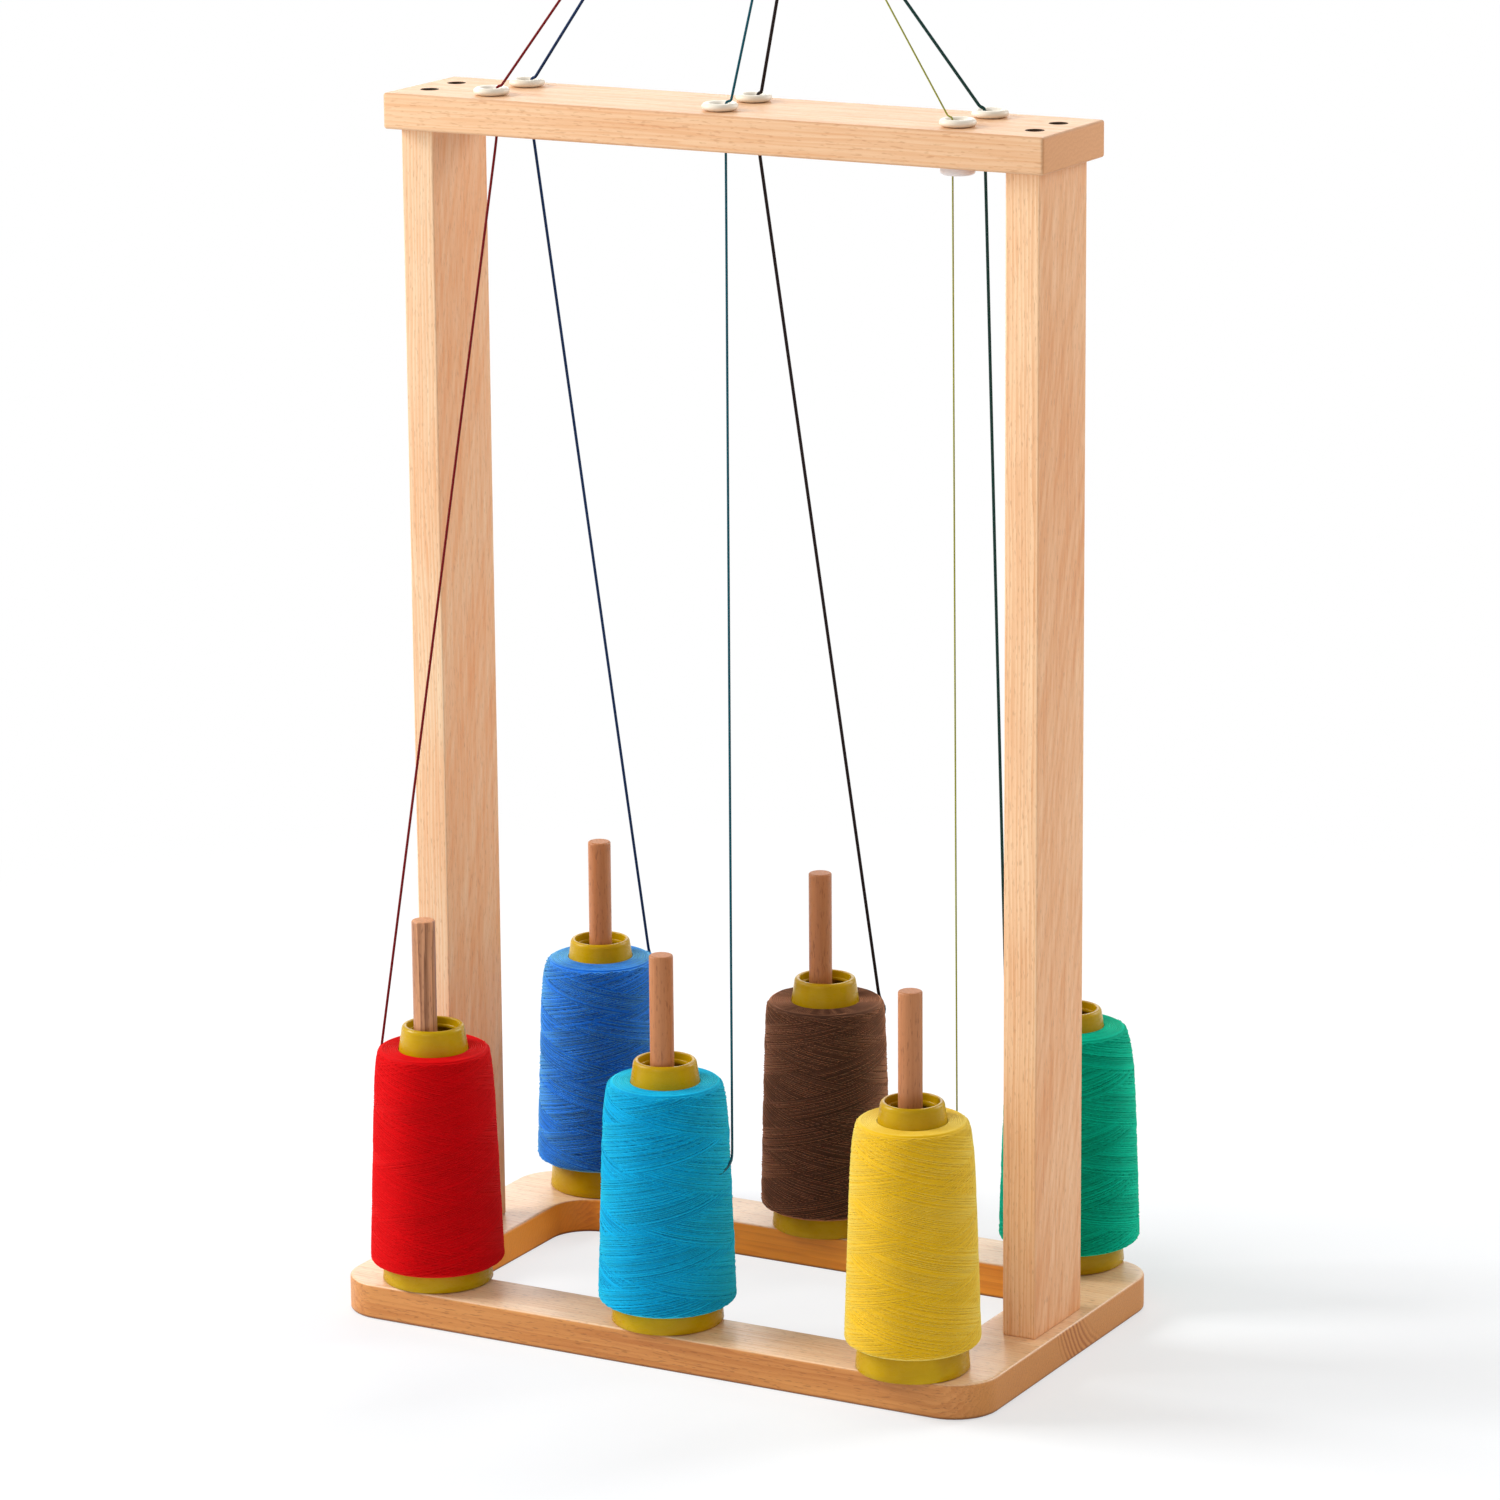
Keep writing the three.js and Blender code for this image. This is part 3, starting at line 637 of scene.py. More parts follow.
def screw(name, node, upwards):
    """A pan head screw whose head points up or down, as its node does."""
    around = 24
    turn = np.arange(around) * 2 * np.pi / around
    height = np.concatenate([[0, 0.5], np.arange(1.5, SCREW_LENGTH - 0.5, SCREW_PITCH / 6)])
    wave = np.abs(((height[:, None] / SCREW_PITCH - turn / (2 * np.pi)) % 1) - 0.5) * 2
    taper = np.clip(height / 5, 0.05, 1)[:, None]
    shank = (SCREW_CORE + SCREW_CREST * wave ** 2) * taper
    neck = np.full((1, around), 1.9)
    head_radius = np.array([1.9, 3.2, 3.7, 3.7, 3.5, 3.0, 2.3, 1.9, 1.5, 1.2, 0.9, 0.6, 0.3, 0])
    head_height = np.array([0, 0, 0.3, 1.0, 1.6, 2.1, 2.4, 2.5, 2.55, 2.58, 2.6, 2.6, 2.6, 2.6])
    radius = np.concatenate([shank, neck, np.repeat(head_radius[:, None], around, axis=1)])
    z = np.concatenate([height, [SCREW_LENGTH - 0.3], SCREW_LENGTH + head_height])
    x, y = radius * np.cos(turn), radius * np.sin(turn)
    nearest = np.minimum(np.abs(x), np.abs(y))
    in_cross = (nearest < 0.55) & (np.hypot(x, y) < 2.0) & (z > SCREW_LENGTH + 2.3)[:, None]
    z = np.repeat(z[:, None], around, axis=1) - 1.3 * in_cross
    if not upwards:
        z = height_of(node) - z
    piece = surface(name, seat(node) + np.stack([x, y, z], axis=-1) * MM, sharp=35)
    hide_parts(node)
    return piece


screws = []
for node in screw_nodes:
    screws.append(screw(node.replace("screw", "pan_head"), node, upwards=node in bar_screws))
print("screws", len(screws), "faces each", len(screws[0].data.polygons))

# %% [markdown]
# ## Cone cores
# Each core is a thin tapered tube, moulded in plastic. Only its foot and its lip show outside
# the thread. Its neck narrows faster than the tube does, up to a thin round lip, and a ledge runs
# round the inside just below the lip.

# %% Cores
CORE_TALL = dict(red=119.0, blue=120.4, cyan=119.6, brown=118.8, yellow=120.0, green=119.0)
CORE_WALL = 1.4
NECK = 108.0
NECK_TOP = 13.9
LIP_ROUND = (1.5, 2.2)
LIP_BORE = 11.75
LEDGE_BORE = 11.15
LEDGE_DEPTH = 3.2


def core_radius(height):
    """Outer radius in mm: a straight taper to the neck, and a steeper one above it."""
    return np.interp(height, (0, NECK, NECK + 11), (25.0, 15.6, NECK_TOP))


cores = []
for spool in SPOOLS:
    tall = CORE_TALL[spool]
    lip = tall - LIP_ROUND[1]
    outer = [[core_radius(height), height] for height in (0.4, 3, 60, 104, NECK - 0.6)]
    outer = [[core_radius(0) - 0.4, 0], *outer, [core_radius(NECK) - 0.05, NECK],
             [core_radius(NECK + 0.6), NECK + 0.6], [core_radius(lip - 2), lip - 2],
             [core_radius(lip), lip]]
    over = arc((core_radius(lip) - LIP_ROUND[0], lip), LIP_ROUND, 8, 90, 8)
    inner = arc((LIP_BORE + 0.5, tall - 0.6), (-0.5, 0.6), 90, 0, 5)
    ledge = tall - LEDGE_DEPTH
    step = [[LIP_BORE, ledge], [LEDGE_BORE + 0.15, ledge - 0.1], [LEDGE_BORE, ledge - 0.3],
            [LEDGE_BORE, 114.4], [LEDGE_BORE + 0.4, 114],
            [core_radius(112) - CORE_WALL - 0.3, 112.2],
            [core_radius(111.4) - CORE_WALL, 111.4], [core_radius(60) - CORE_WALL, 60],
            [core_radius(0.4) - CORE_WALL, 0.4], [core_radius(0) - CORE_WALL + 0.3, 0]]
    cores.append(turned(f"{spool}_tube", outer + over + inner + step, f"{spool}_core",
                        around=96, sharp=50))
print("cores", len(cores), "faces each", len(cores[0].data.polygons))

# %% [markdown]
# ## Packages
# A package is a few hundred metres of thread wound on a core. Its inside is one plain turned
# body. Its top face shows the ends of all the layers as fine rings, so the body's top has
# ripples, each a little out of round, and uneven tones. The outside gets real thread in the
# next step, and the table here already says how each package is wound: its thickness in mm,
# half the number of passes, the seed, how many patches lie round it each way, how far passes
# lie out at random, and the mean and spread of their tones. Ripple is for the top face.

# %% Package bodies
WINDING = table(
    "layer starts seed across lift uneven tones ripple",
    red=(0.55, 91, 1, (1, 1), 0.09, 0.025, (0.6, 0.14), 0.14),
    blue=(0.68, 79, 2, (1, 2), 0.17, 0.08, (0.6, 0.24), 0.11),
    cyan=(0.68, 79, 3, (1, 1), 0.16, 0.07, (0.6, 0.22), 0.11),
    brown=(0.76, 73, 4, (2, 1), 0.15, 0.07, (0.5, 0.13), 0.2),
    yellow=(0.55, 91, 5, (1, 1), 0.09, 0.025, (0.6, 0.14), 0.1),
    green=(0.68, 79, 9, (1, 1), 0.17, 0.07, (0.6, 0.22), 0.12),
)
RIPPLE_PITCH = 0.9
CORE_GAP = 0.3
BODY_SIDES = 144


def package_body(spool):
    """The turned inside of a package. The ripples of its top face are a cosine of the radius,
    whose phase wanders round the axis, and the tone of each ring has slow waves along it."""
    shape, wound = PACKAGES[spool], WINDING[spool]
    sunk = 0.75 * wound["layer"]
    up = np.concatenate([shape["foot"] + np.linspace(0, HEEL_HEIGHT, 6),
                         np.linspace(shape["foot"] + 8, shape["rim"] - 26, 8),
                         shape["rim"] - np.geomspace(22, 1.2, 10)])
    rim = package_radius(spool, shape["rim"]) - sunk
    inner = core_radius(shape["neck"]) + CORE_GAP
    face = np.arange(rim - 1.3, inner + 0.2, -RIPPLE_PITCH / 6)
    part = (face - inner) / (rim - inner)
    face_height = shape["neck"] + (shape["rim"] - 0.2 - shape["neck"]) * part ** 0.7
    profile = np.concatenate([
        [[core_radius(shape["foot"]) + CORE_GAP, shape["foot"]]],
        np.column_stack([package_radius(spool, up) - sunk, up]),
        arc((rim - 1.2, shape["rim"] - 1.2), (1.2, 1.0), 5, 85, 6),
        np.column_stack([face, face_height]),
        [[inner, shape["neck"]]],
    ])
    turn = np.arange(BODY_SIDES) * 2 * np.pi / BODY_SIDES
    wander = 0.35 * np.sin(2 * turn + 1) + 0.2 * np.sin(3 * turn + 4)
    ripple = wound["ripple"] * np.cos(2 * np.pi * (profile[:, :1] / RIPPLE_PITCH + wander))
    ripple[:-len(face) - 2] = 0
    ripple[-1] = 0
    rows = turned_rows(profile * MM, seat(f"{spool}_core"), BODY_SIDES)
    rows[..., 2] += ripple * MM
    random = np.random.default_rng(wound["seed"])
    swirl = np.cumsum(random.normal(0.12, 0.25, len(profile)))[:, None]
    rings = random.normal(0.45, 0.3, len(profile))[:, None]
    tone = rings + 0.08 * np.sin(3 * turn + swirl) + 0.03 * np.sin(8 * turn - 2 * swirl)
    return surface(f"{spool}_package_body", rows, closed=True, sharp=60, marks={"tone": tone})


bodies = {}
for spool in SPOOLS:
    bodies[spool] = package_body(spool)
    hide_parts(f"{spool}_package")
print("package bodies", len(bodies), "faces each", len(bodies["red"].data.polygons))

# %% [markdown]
# ## The wound thread
# A cone is cross wound: while it turns, the thread is led up and down, so each pass crosses
# the one below at a steep slant. A bump texture could fake the lines, but not the crossings,
# which catch the light. So the outer layer here is one unbroken thread. Its angle grows evenly
# and its height swings up and down like a triangle wave. Each pass starts a little further
# round than the last, until the passes lie side by side.

# %% Strands
STEPS_PER_TURN = 64
TURNS_PER_PASS = 2
PATCH_EDGE = 10
# Painted shade of the grooves: how much lower the tone is on the sides of each strand.
GROOVE_SHADE = 0.38


def between(values, part):
    """Numbers that run from each value to the next while part runs from 0 to 1."""
    return (values[:-1, None] + np.diff(values)[:, None] * part).ravel()


def winding(spool):
    """One thread round a package. Pass k goes up when k is even and down when it is odd, and
    every second pass starts a fraction of a turn later. A strand that goes up lies outside
    one that goes down where the product of two slanting waves is positive, and inside it
    elsewhere, so the package shows patches that slant one way. A hyperbolic tangent makes
    their borders short. Each pass also lies a little higher or lower than the next."""
    shape, wound = PACKAGES[spool], WINDING[spool]
    random = np.random.default_rng(wound["seed"])
    passes = 2 * wound["starts"]
    steps = TURNS_PER_PASS * STEPS_PER_TURN
    ends = np.where(np.arange(passes + 1) % 2 == 0,
                    shape["foot"] + 0.7 + random.gamma(1.5, 0.35, passes + 1),
                    shape["rim"] - 1.0 - random.gamma(1.5, 0.45, passes + 1))
    part = np.arange(steps) / steps
    height = between(ends, part - 0.012 * np.sin(2 * np.pi * part))
    step_turns = TURNS_PER_PASS + 12 / wound["starts"]
    turns = (np.arange(passes)[:, None] + part).ravel() * step_turns
    turns += between(random.normal(0, 0.004, passes + 1), part)
    rising = np.repeat(np.arange(passes) % 2 == 0, steps)
    climb = (height - shape["foot"]) / (shape["rim"] - shape["foot"]) * TURNS_PER_PASS
    first, second = wound["across"]
    patches = (np.sin(2 * np.pi * first * (climb - turns) + wound["seed"])
               * np.sin(2 * np.pi * second * (climb + turns) + 2 * wound["seed"]))
    outward = np.where(rising, 1, -1) * np.tanh(PATCH_EDGE * patches) * wound["lift"]
    outward += np.repeat(random.normal(0, wound["uneven"], passes), steps)
    half = wound["layer"] / 2
    radius = package_radius(spool, height) - half + outward
    angle = 2 * np.pi * turns
    spoke = np.stack([np.cos(angle), np.sin(angle), np.zeros_like(angle)], axis=1)
    path = seat(f"{spool}_core") + spoke * radius[:, None] * MM
    path[:, 2] += height * MM
    tangent = np.gradient(path, axis=0)
    tangent /= np.linalg.norm(tangent, axis=1, keepdims=True)
    out, side = spoke * half * MM, np.cross(tangent, spoke) * half * MM
    rows = np.stack([path + out, path + side, path - out, path - side], axis=1)
    tone = np.clip(random.normal(*wound["tones"], passes), 0, 1)
    tone[random.random(passes) < 0.05] = 1.3
    # Painted shade: the sides of each strand get a lower tone, which darkens the grooves between
    # passes.
    tone = np.repeat(tone, steps)[:, None] - GROOVE_SHADE * np.array([0, 1, 1, 1])
    tone = np.concatenate([tone[:1], tone, tone[-1:]])
    return surface(f"{spool}_strands", capped(rows), marks={"tone": tone})


strands = {}
for spool in SPOOLS:
    strands[spool] = winding(spool)
    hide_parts(f"{spool}_winding")
    print(spool, "strands", 2 * len(strands[spool].data.polygons), "triangles")

# %% [markdown]
# ## Materials
# All finishes are procedural. Wood is a solid pattern in the object's own coordinates, so end
# grain, long grain and the walls of a sawn window agree with each other as they do in a real
# board. Colours are written as they look on screen, from 0 to 255, and turned into the linear
# values that the shader wants. A small class lets a formula of nodes read like a formula.

# %% Helpers for nodes


class Field:
    """What nodes work out at each point. Arithmetic on fields adds the nodes for it, with the
    field on the left."""

    def __init__(self, socket):
        self.socket = socket
        self.tree = socket.id_data

    def __add__(self, other):
        return calc("ADD", self, other)

    def __sub__(self, other):
        return calc("SUBTRACT", self, other)

    def __mul__(self, other):
        return calc("MULTIPLY", self, other)

    def __truediv__(self, other):
        return calc("DIVIDE", self, other)

    def __abs__(self):
        return calc("ABSOLUTE", self)


def lay(tree, kind, inputs, output=0, **settings):
    """Add a node, set or join its inputs, and give one of its outputs as a field."""
    node = tree.nodes.new(kind)
    for key, value in settings.items():
        setattr(node, key, value)
    for key, value in inputs.items():
        if isinstance(value, Field):
            tree.links.new(value.socket, node.inputs[key])
        else:
            node.inputs[key].default_value = value
    return Field(node.outputs[output])


def calc(operation, first, second=0.0):
    """One step of arithmetic on a field."""
    return lay(first.tree, "ShaderNodeMath", {0: first, 1: second}, operation=operation)


def mixed(share, first, second):
    """The first colour where share is 0, the second where it is 1."""
    return lay(share.tree, "ShaderNodeMix", {0: share, 6: first, 7: second}, 2, data_type="RGBA")


def ramp(field, start, end, low=0.0, high=1.0):
    """Smooth step: low below start, high above end."""
    return lay(field.tree, "ShaderNodeMapRange", {
        "Value": field, "From Min": start, "From Max": end, "To Min": low, "To Max": high,
    }, interpolation_type="SMOOTHSTEP")


def axes_of(field):
    """The three numbers of a vector."""
    node = field.tree.nodes.new("ShaderNodeSeparateXYZ")
    field.tree.links.new(field.socket, node.inputs[0])
    return [Field(socket) for socket in node.outputs]


def grain_noise(place, per_metre, detail=2.0, roughness=0.5):
    """Noise with about per_metre = (x, y, z) blots in a metre along each axis."""
    scaled = lay(place.tree, "ShaderNodeVectorMath", {0: place, 1: per_metre},
                 operation="MULTIPLY")
    return lay(place.tree, "ShaderNodeTexNoise", {
        "Vector": scaled, "Scale": 1.0, "Detail": detail, "Roughness": roughness,
    })


def attribute(place, name):
    """A number that the mesh carries at each point."""
    return lay(place.tree, "ShaderNodeAttribute", {}, "Fac", attribute_name=name)


def drive(shader, **fields):
    """Let fields drive inputs of a shader."""
    for key, field in fields.items():
        field.tree.links.new(field.socket, shader.inputs[key.replace("_", " ")])


def bumped(shader, height, distance, strength):
    """Let a height tilt the shader's normal."""
    drive(shader, Normal=lay(height.tree, "ShaderNodeBump", {
        "Height": height, "Distance": distance, "Strength": strength,
    }))


def paint(red, green, blue):
    """A screen colour as linear values: each channel goes through the sRGB curve."""
    screen = np.array([red, green, blue]) / 255
    linear = np.where(screen <= 0.04045, screen / 12.92, ((screen + 0.055) / 1.055) ** 2.4)
    return (*linear.tolist(), 1.0)


def new_material(name, **shader_values):
    """A material whose shader has these plain values. It gives the material, its shader and
    the place of each point in the object's own coordinates."""
    material = bpy.data.materials.new(name)
    material.use_nodes = True
    shader = material.node_tree.nodes["Principled BSDF"]
    for key, value in shader_values.items():
        shader.inputs[key.replace("_", " ")].default_value = value
    return material, shader, lay(material.node_tree, "ShaderNodeTexCoord", {}, "Object")


def finish_with(pieces, material):
    """Give pieces their material."""
    for piece in pieces:
        piece.data.materials.clear()
        piece.data.materials.append(material)


# %% [markdown]
# ## Wood
# A board is cut out of a trunk, so its pattern is a set of rings round the trunk's heart, which
# lies outside the board. Where the rings come out decides everything: long lines on one face,
# wide flames on another, short bars on the sawn ends. On top come fibres, which are noise
# drawn out along the grain, and the short dark flecks of beech. The base also has dark arcs on
# one end and deeper colours on its sides. The walls of its window get brighter and yet deeper
# colours, which are painted light where they stand in shade. Image textures would not match
# from face to face, so all of it is worked out in space.

# %% Wood
# The arcs on the base's end, in metres: how far they lie from their middle and their pitch.
CURL_RADIUS = 0.06
CURL_PITCH = 0.0029
# The near-black painted shade of the walls of holes.
HOLE_SHADE = paint(20, 12, 8)


def seen_within(spot, low, high, margin):
    """One where a point, seen from above, lies within two corners, else zero."""
    shares = []
    for axis in (0, 1):
        reach = (high[axis] - low[axis]) / 2 + margin
        off = abs(spot[axis] - (low[axis] + high[axis]) / 2)
        shares.append(ramp(off, reach, reach - 0.0005))
    return shares[0] * shares[1]


def wood(name, grain, heart, ring_pitch, pale, dark, fleck, line, gloss=0.5, plain=0.0, lean=0.0,
         shine=0.3, ends=0.45, foot=None, curl=None, bored=None, upright=None, opening=None,
         edge_colour=None):
    """Wood along the axis grain, 0 for x or 2 for z. heart is a point of the trunk's heart in
    the two other axes. The ring pattern is the fraction of the distance from the heart over
    the pitch, and it darkens slowly and then drops back as late wood gives way to early. line
    is how dark the rings are, plain how much darker and calmer the faces across x are, where
    the saw ran along the rings, lean the slope of the broad figure, ends how dark the sawn ends
    are, foot the level of an edge that stands on the table, above which a painted contact shade
    darkens the board, and curl the middle of the arcs on one end. bored is the two corners of a
    box within which upright walls of holes get a near-black painted shade. upright is the two
    colours of upright faces, darker and deeper than the top, opening two corners and the two
    brighter colours of the walls within them, painted light where they stand in shade, and worn
    the colour of the edges, which otherwise take the pale colour as a painted highlight."""
    material, shader, place = new_material(name, Roughness=gloss, Specular_IOR_Level=shine)
    facing = axes_of(lay(place.tree, "ShaderNodeTexCoord", {}, "Normal"))
    flat_sawn = ramp(abs(facing[0]), 0.5, 0.95, 0.0, plain)
    spot = axes_of(place)
    tilt = lay(place.tree, "ShaderNodeCombineXYZ", {1: spot[2] * -lean})
    leaning = lay(place.tree, "ShaderNodeVectorMath", {0: place, 1: tilt})

    def along(short, long):
        """Blots in a metre: few along the grain and many across it."""
        return [long if axis == grain else short for axis in (0, 1, 2)]

    wave = grain_noise(place, along(14, 2.5)) * 0.012 + 0.5
    first, second = [spot[axis] for axis in (0, 1, 2) if axis != grain]
    first, second = first - heart[0], second - heart[1]
    radius = calc("SQRT", calc("POWER", first, 2.0) + calc("POWER", second, 2.0))
    uneven = grain_noise(place, along(260, 10)) * 2.4
    phase = calc("FRACT", (radius + wave) / ring_pitch + uneven)
    late = ramp(phase, 0.1, 0.92) * ramp(phase, 1.0, 0.93)
    fibre = grain_noise(place, along(1900, 55), 3, 0.6)
    streak = grain_noise(place, along(420, 9))
    cloud = grain_noise(leaning, along(34, 7))
    figure = grain_noise(leaning, along(300, 18))
    flecks = ramp(grain_noise(place, along(1500, 240), 1), 0.58, 0.72)

    share = (late * (flat_sawn * (-0.9 * line) + line) + flat_sawn * 0.6
             + ramp(fibre, 0.3, 0.8, 0.0, 0.22) + ramp(streak, 0.35, 0.75, -0.06, 0.2)
             + ramp(cloud, 0.3, 0.7, -0.1, 0.16) + flat_sawn * ramp(figure, 0.3, 0.7, -0.16, 0.16))
    colour = mixed(flecks * 0.4, mixed(share, pale, dark), fleck)

    sawn_end = ramp(abs(facing[grain]), 0.5, 0.95)
    pores = grain_noise(place, (1400, 1400, 1400), 2, 0.7)
    bars = late * 0.15 + ramp(pores, 0.3, 0.8, 0, 0.14)
    if curl is not None:
        away = lay(place.tree, "ShaderNodeVectorMath", {0: place, 1: curl}, "Value",
                   operation="DISTANCE")
        arcs = calc("FRACT", away / CURL_PITCH + grain_noise(place, (60, 60, 60)) * 1.2)
        arcs = ramp(arcs, 0.0, 0.55) * ramp(arcs, 1.0, 0.6) - 0.35
        bars = bars + arcs * ramp(abs(away - CURL_RADIUS), 0.005, 0.017, 1.1, 0.0)
    end_pale = [(1 - ends) * light + ends * deep for light, deep in zip(pale, dark)]
    colour = mixed(sawn_end, colour, mixed(bars, end_pale, fleck))
    # Arrises take the pale colour as a painted highlight, or the darker edge colour where one is
    # given.
    colour = mixed(attribute(place, "edge") * 0.45, colour, edge_colour or pale)
    # Upright faces get darker, deeper colours than the top.
    if upright is not None:
        upright_share = ramp(abs(facing[2]), 0.45, 0.9, 0.9, 0.0)
        share = share + sawn_end * (bars - share)
        upright_colour = mixed(flecks * 0.4, mixed(share, *upright), fleck)
        colour = mixed(upright_share, colour, upright_colour)
    # Painted light: the walls of the window get brighter colours where they stand in shade.
    if opening is not None:
        low, high, *tints = opening
        wall = upright_share * seen_within(spot, low, high, 0.001)
        colour = mixed(wall, colour, mixed(share, *tints))
    # Upright walls of holes within the box take a near-black painted shade.
    if bored is not None:
        wall = ramp(abs(facing[2]), 0.6, 0.4) * seen_within(spot, *bored, -0.003)
        colour = mixed(wall * 0.93, colour, HOLE_SHADE)
    # Painted contact shade: the board darkens from 1.8 mm above its lower edge down to that edge.
    if foot is not None:
        colour = mixed(ramp(spot[2], foot + 0.0004, foot + 0.0018, 0.85, 0.0), colour, fleck)
    drive(shader, Base_Color=colour,
          Roughness=ramp(fibre, 0.2, 0.8, -0.06, 0.1) + gloss + sawn_end * 0.15)
    bumped(shader, fibre * 0.6 + flecks * -0.6 + pores * 0.3, 0.00012, 0.5)
    return material


base_wood = wood("base beech", 0, (0.42, -0.22), 0.0019, paint(240, 206, 167),
                 paint(216, 158, 102), paint(116, 66, 30), line=0.3, gloss=0.33, shine=0.4,
                 ends=0.2, foot=base_low[2], upright=(paint(198, 128, 50), paint(162, 84, 20)),
                 curl=(base_high[0], 0.054, base_high[2] + 0.026),
                 opening=(window_low, window_high, paint(242, 158, 46), paint(202, 110, 18)))
bar_wood = wood("crossbar beech", 0, (0.04, 0.30), 0.0023, paint(228, 188, 148),
                paint(214, 152, 102), paint(186, 126, 80), line=0.35, ends=0.9,
                bored=(bar_low, bar_high), edge_colour=paint(168, 108, 64))
left_wood = wood("left post beech", 2, (-0.42, 0.01), 0.0017, paint(231, 199, 162),
                 paint(219, 142, 82), paint(166, 104, 64), line=0.4, plain=0.75, lean=0.3)
right_wood = wood("right post beech", 2, (0.46, 0.0), 0.0019, paint(242, 202, 160),
                  paint(214, 138, 78), paint(166, 104, 64), line=0.4, plain=0.95, lean=0.3)
pin_wood = wood("dowel birch", 2, (0.9, 0.8), 0.0021, paint(180, 118, 74),
                paint(144, 82, 44), paint(96, 54, 28), line=0.1, gloss=0.4, ends=0.0)
streaked_wood = wood("streaked dowel", 2, (0.9, 0.8), 0.0033, paint(210, 150, 108),
                     paint(110, 62, 34), paint(90, 48, 26), line=0.6, gloss=0.4, ends=0.0)
for board, material in [(base, base_wood), (bar, bar_wood), (posts[0], left_wood),
                        (posts[1], right_wood)]:
    finish_with([board], material)
finish_with(pins[:1], streaked_wood)
finish_with(pins[1:], pin_wood)
print("woods done")

# %% [markdown]
# ## Plastic and steel
# The guides are cream plastic with a soft gloss. The cores are olive yellow, moulded and
# polished by handling, so their colour and gloss drift a little. The screws are plain steel,
# dulled in their holes.

# %% Plastic and steel


def plastic(name, colour, deep, gloss):
    """Moulded plastic: a colour that drifts a little, and a very fine unevenness."""
    material, shader, place = new_material(name, Roughness=gloss, Specular_IOR_Level=0.15)
    drift = grain_noise(place, (60, 60, 60))
    haze = grain_noise(place, (220, 220, 500), 3)
    drive(shader, Base_Color=mixed(ramp(drift, 0.35, 0.7), colour, deep),
          Roughness=ramp(haze, 0.3, 0.7, gloss - 0.05, gloss + 0.08))
    bumped(shader, grain_noise(place, (900, 900, 900)), 0.00004, 0.35)
    return material


cream = plastic("guide cream", paint(242, 234, 220), paint(230, 218, 198), 0.32)
finish_with(guides, cream)
pinkish = plastic("collar cream", paint(226, 218, 214), paint(214, 204, 200), 0.35)
finish_with([ring], pinkish)
olive = plastic("core olive", paint(184, 148, 0), paint(172, 134, 0), 0.28)
finish_with(cores, olive)

steel, shader, place = new_material("screw steel", Metallic=0.9, Roughness=0.4)
stain = ramp(grain_noise(place, (900, 900, 900), 3), 0.35, 0.7)
drive(shader, Base_Color=mixed(stain, paint(120, 114, 106), paint(64, 58, 52)))
bumped(shader, stain, 0.00003, 0.5)
finish_with(screws, steel)
print("plastic and steel done")

# %% [markdown]
# ## Yarn
# Thread is a bundle of fine glossy fibres. From a distance it has a soft sheen along its sides
# and a darker middle. The strands carry a number of their own, so each pass is a little lighter
# or darker than the next one, and the groove beside it is darker still, which is painted shade.
# The colours are those of a light pass, a dark one, the loose fibres that catch light, and the
# single thread.

# %% Yarn
YARN = {
    "red": [(206, 0, 10), (186, 0, 6), (255, 50, 46), (100, 2, 6)],
    "blue": [(0, 108, 230), (0, 64, 154), (155, 245, 255), (10, 36, 72)],
    "cyan": [(0, 162, 216), (0, 122, 174), (70, 250, 255), (4, 68, 80)],
    "brown": [(70, 45, 33), (48, 30, 22), (255, 180, 135), (22, 10, 10)],
    "yellow": [(226, 178, 0), (216, 168, 0), (255, 255, 160), (132, 132, 48)],
    "green": [(0, 178, 144), (0, 132, 104), (30, 240, 190), (14, 48, 44)],
}
TWIST = 1.4


def yarn(name, light, dark, fuzz):
    """Wound thread: the tone of each pass and a slow mottle share out two colours."""
    material, shader, place = new_material(
        name, Roughness=0.6, Specular_IOR_Level=0.04, Sheen_Weight=1.0, Sheen_Roughness=0.5,
        Sheen_Tint=fuzz)
    mottle = grain_noise(place, (70, 70, 160), 3)
    fine = grain_noise(place, (700, 700, 1500))
    share = (attribute(place, "tone") + ramp(mottle, 0.3, 0.7, -0.12, 0.12)
             + ramp(fine, 0.3, 0.7, -0.15, 0.15))
    drive(shader, Base_Color=mixed(share, dark, light))
    bumped(shader, fine, 0.0001, 0.5)
    return material


def twisted(name, colour, thick):
    """A single thread: light and dark slants of its twist, as a wave along its length."""
    material, shader, place = new_material(name, Roughness=0.6, Specular_IOR_Level=0.15)
    ply = calc("SINE", attribute(place, "along") * (2 * np.pi / (TWIST * thick)))
    fuzz = grain_noise(place, (1500, 1500, 600))
    share = ramp(ply, -1, 1, 0, 0.5) + ramp(fuzz, 0.3, 0.7, 0, 0.4)
    pale = [min(1.0, channel * 1.4) for channel in colour]
    drive(shader, Base_Color=mixed(share, colour, pale))
    bumped(shader, ply + fuzz, 0.1 * thick, 0.5)
    return material


for spool in SPOOLS:
    *tints, single = [paint(*colour) for colour in YARN[spool]]
    material = yarn(f"{spool} yarn", *tints)
    finish_with([strands[spool], bodies[spool]], material)
    material = twisted(f"{spool} thread", single, THREADS[spool]["thick"] * MM)
    finish_with(thread_pieces[spool], material)
print("yarns done")

# %% [markdown]
# ## What moves with what
# The boards, pins, guides and screws are one body. A cone is loose: its core, package and
# strands turn together on their pin, and lift off over it.

# %% Riding
for piece in [base, bar, *posts, *pins, *guides, ring, *screws]:
    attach(piece, "stand")
for spool, core in zip(SPOOLS, cores):
    for piece in (core, bodies[spool], strands[spool]):
        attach(piece, f"{spool}_cone")

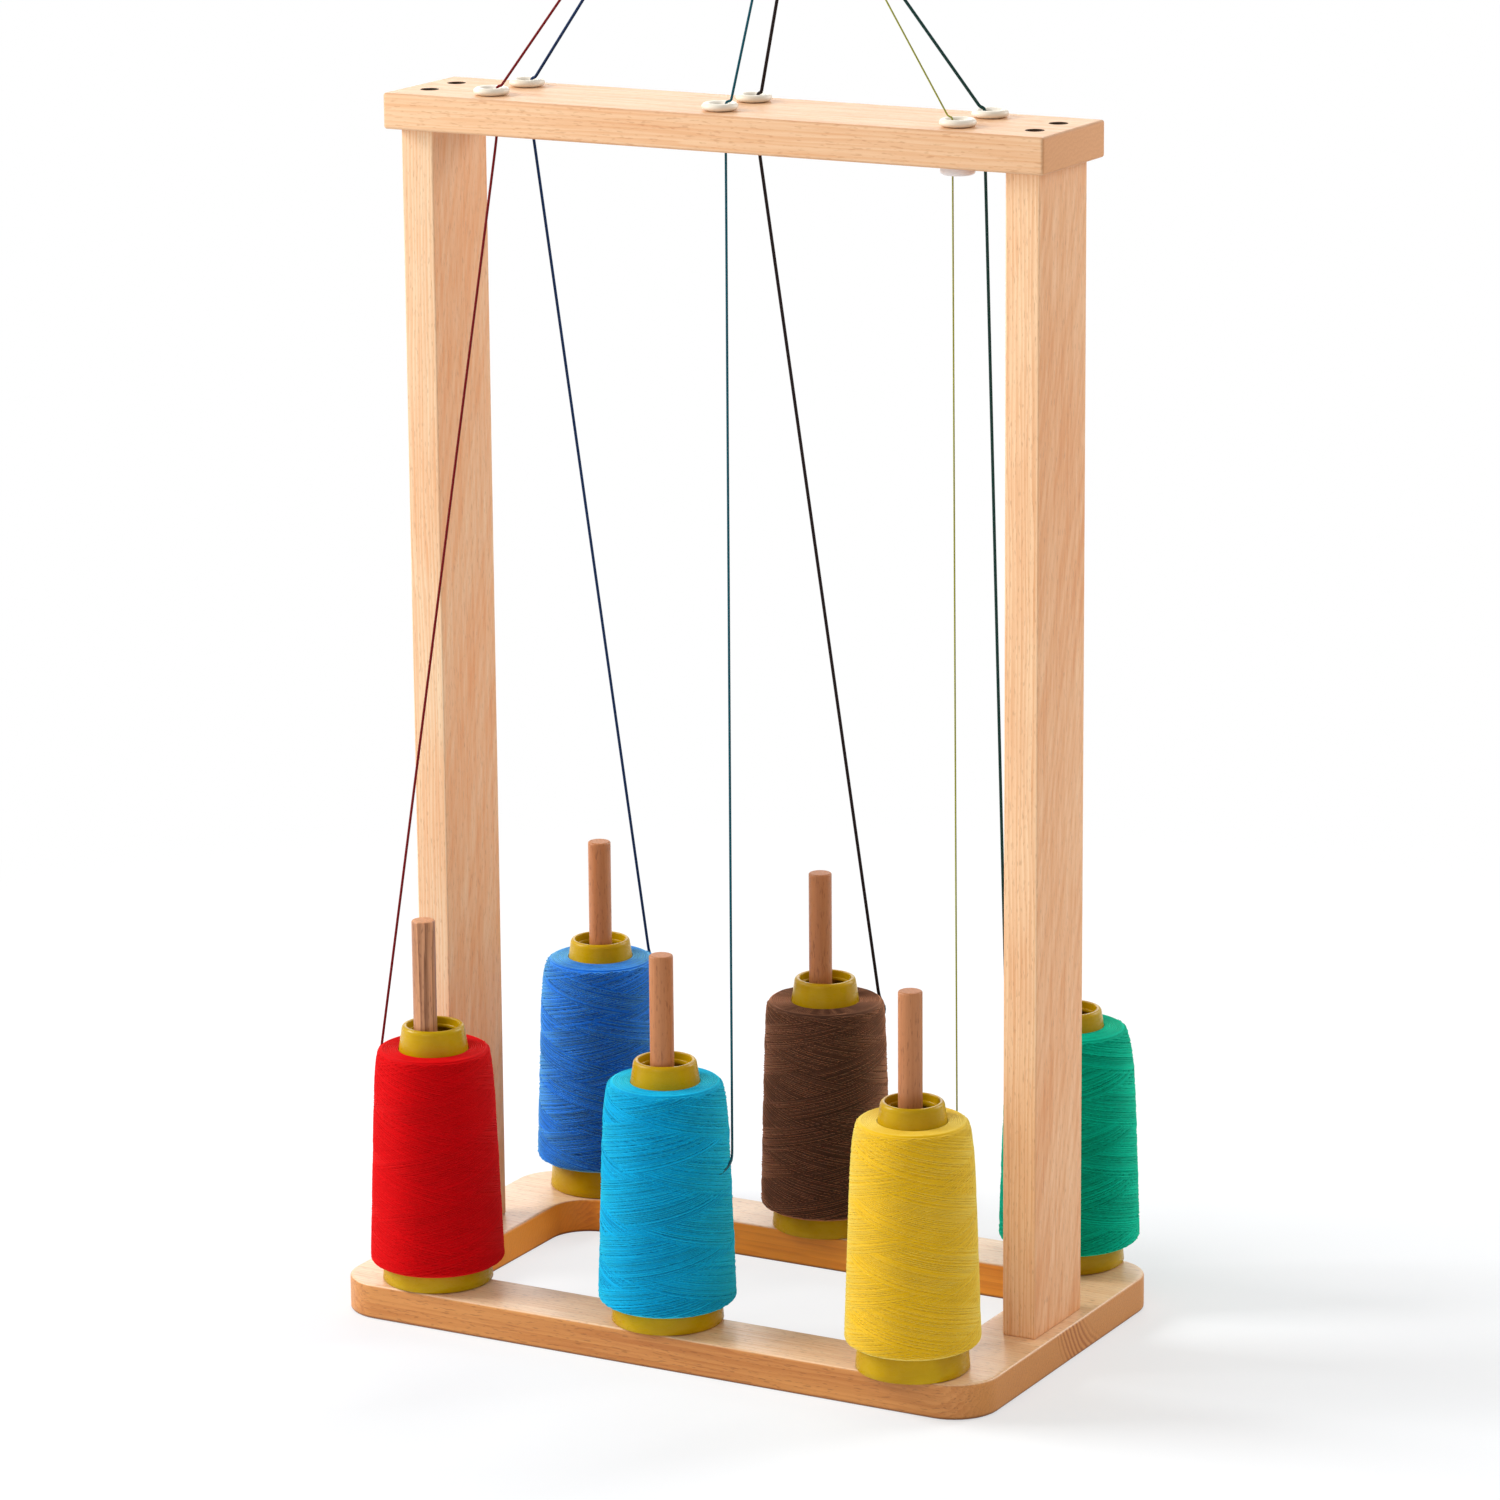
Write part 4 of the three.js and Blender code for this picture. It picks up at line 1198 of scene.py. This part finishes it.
# %% [markdown]
# ## Floor and light
# A product photograph like this has a white sweep, a large soft light on the left, a weaker
# one on the right, and light from above. The floor is a real surface that keeps the shadow,
# but for the camera alone it is mixed with plain white: a little under half of it round the
# stand, more under the stand's window, which is painted light that thins the shadow there,
# and all of it far away, so the background is white without more light on the wood.

# %% Floor and backdrop
FLOOR_DROP = 0.02


def rays(tree, kind):
    """One for rays of a kind, such as those of the camera, else zero."""
    return lay(tree, "ShaderNodeLightPath", {}, f"Is {kind} Ray")


rings = [[reach, -FLOOR_DROP * MM] for reach in (0.0, 0.5, 2.0, 9.0)]
floor = surface("floor", turned_rows(rings, (0, 0, 0), 64))
material, shader, place = new_material("floor white", Roughness=0.9, Specular_IOR_Level=0.0,
                                       Base_Color=(0.84, 0.86, 0.88, 1))
distance = lay(place.tree, "ShaderNodeVectorMath", {0: place}, "Value", operation="LENGTH")
# Painted light: near the stand, under its window most of all, more of the floor is mixed with
# white for the camera, which thins the shadow.
near = ramp(distance, 0.09, 0.2, 0.76, 0.45)
far = calc("MAXIMUM", near, ramp(distance, 0.3, 0.9, 0.45, 1.0))
white = lay(place.tree, "ShaderNodeEmission", {"Color": (1, 1, 1, 1), "Strength": 1.0})
both = lay(place.tree, "ShaderNodeMixShader", {
    0: rays(place.tree, "Camera") * far, 1: Field(shader.outputs[0]), 2: white,
})
place.tree.links.new(both.socket, place.tree.nodes["Material Output"].inputs["Surface"])
floor.data.materials.append(material)

world = bpy.data.worlds.new("studio")
scene.world = world
world.use_nodes = True
tree = world.node_tree
seen = calc("MAXIMUM", rays(tree, "Camera"), rays(tree, "Glossy"))
seen = calc("MAXIMUM", seen, rays(tree, "Transmission"))
background = tree.nodes["Background"]
drive(background, Strength=lay(tree, "ShaderNodeMapRange", {
    "Value": seen, "To Min": 0.48, "To Max": 1.0,
}))
background.inputs["Color"].default_value = (1, 1, 1, 1)
print("floor", len(floor.data.polygons), "faces")

# %% Lamps


def soft_light(name, bearing, height, distance, size, power):
    """A square soft box that faces the middle of the stand. bearing is in degrees from the
    stand's front towards its right, and height in degrees above the floor."""
    away = direction(*np.radians([bearing, height]))
    lamp = bpy.data.objects.new(name, bpy.data.lights.new(name, "AREA"))
    lamp.data.size = size
    lamp.data.energy = power
    side = np.cross([0, 0, 1], away)
    face_stand(lamp, side / np.linalg.norm(side), away, distance)


soft_light("key", -70, 30, 3.0, 1.3, 94)
soft_light("front", 0, 18, 3.2, 1.6, 18)
soft_light("rim", 146, 24, 3.0, 1.2, 42)
soft_light("back", 207, 24, 3.0, 1.6, 18)
scene.view_settings.view_transform = "Standard"
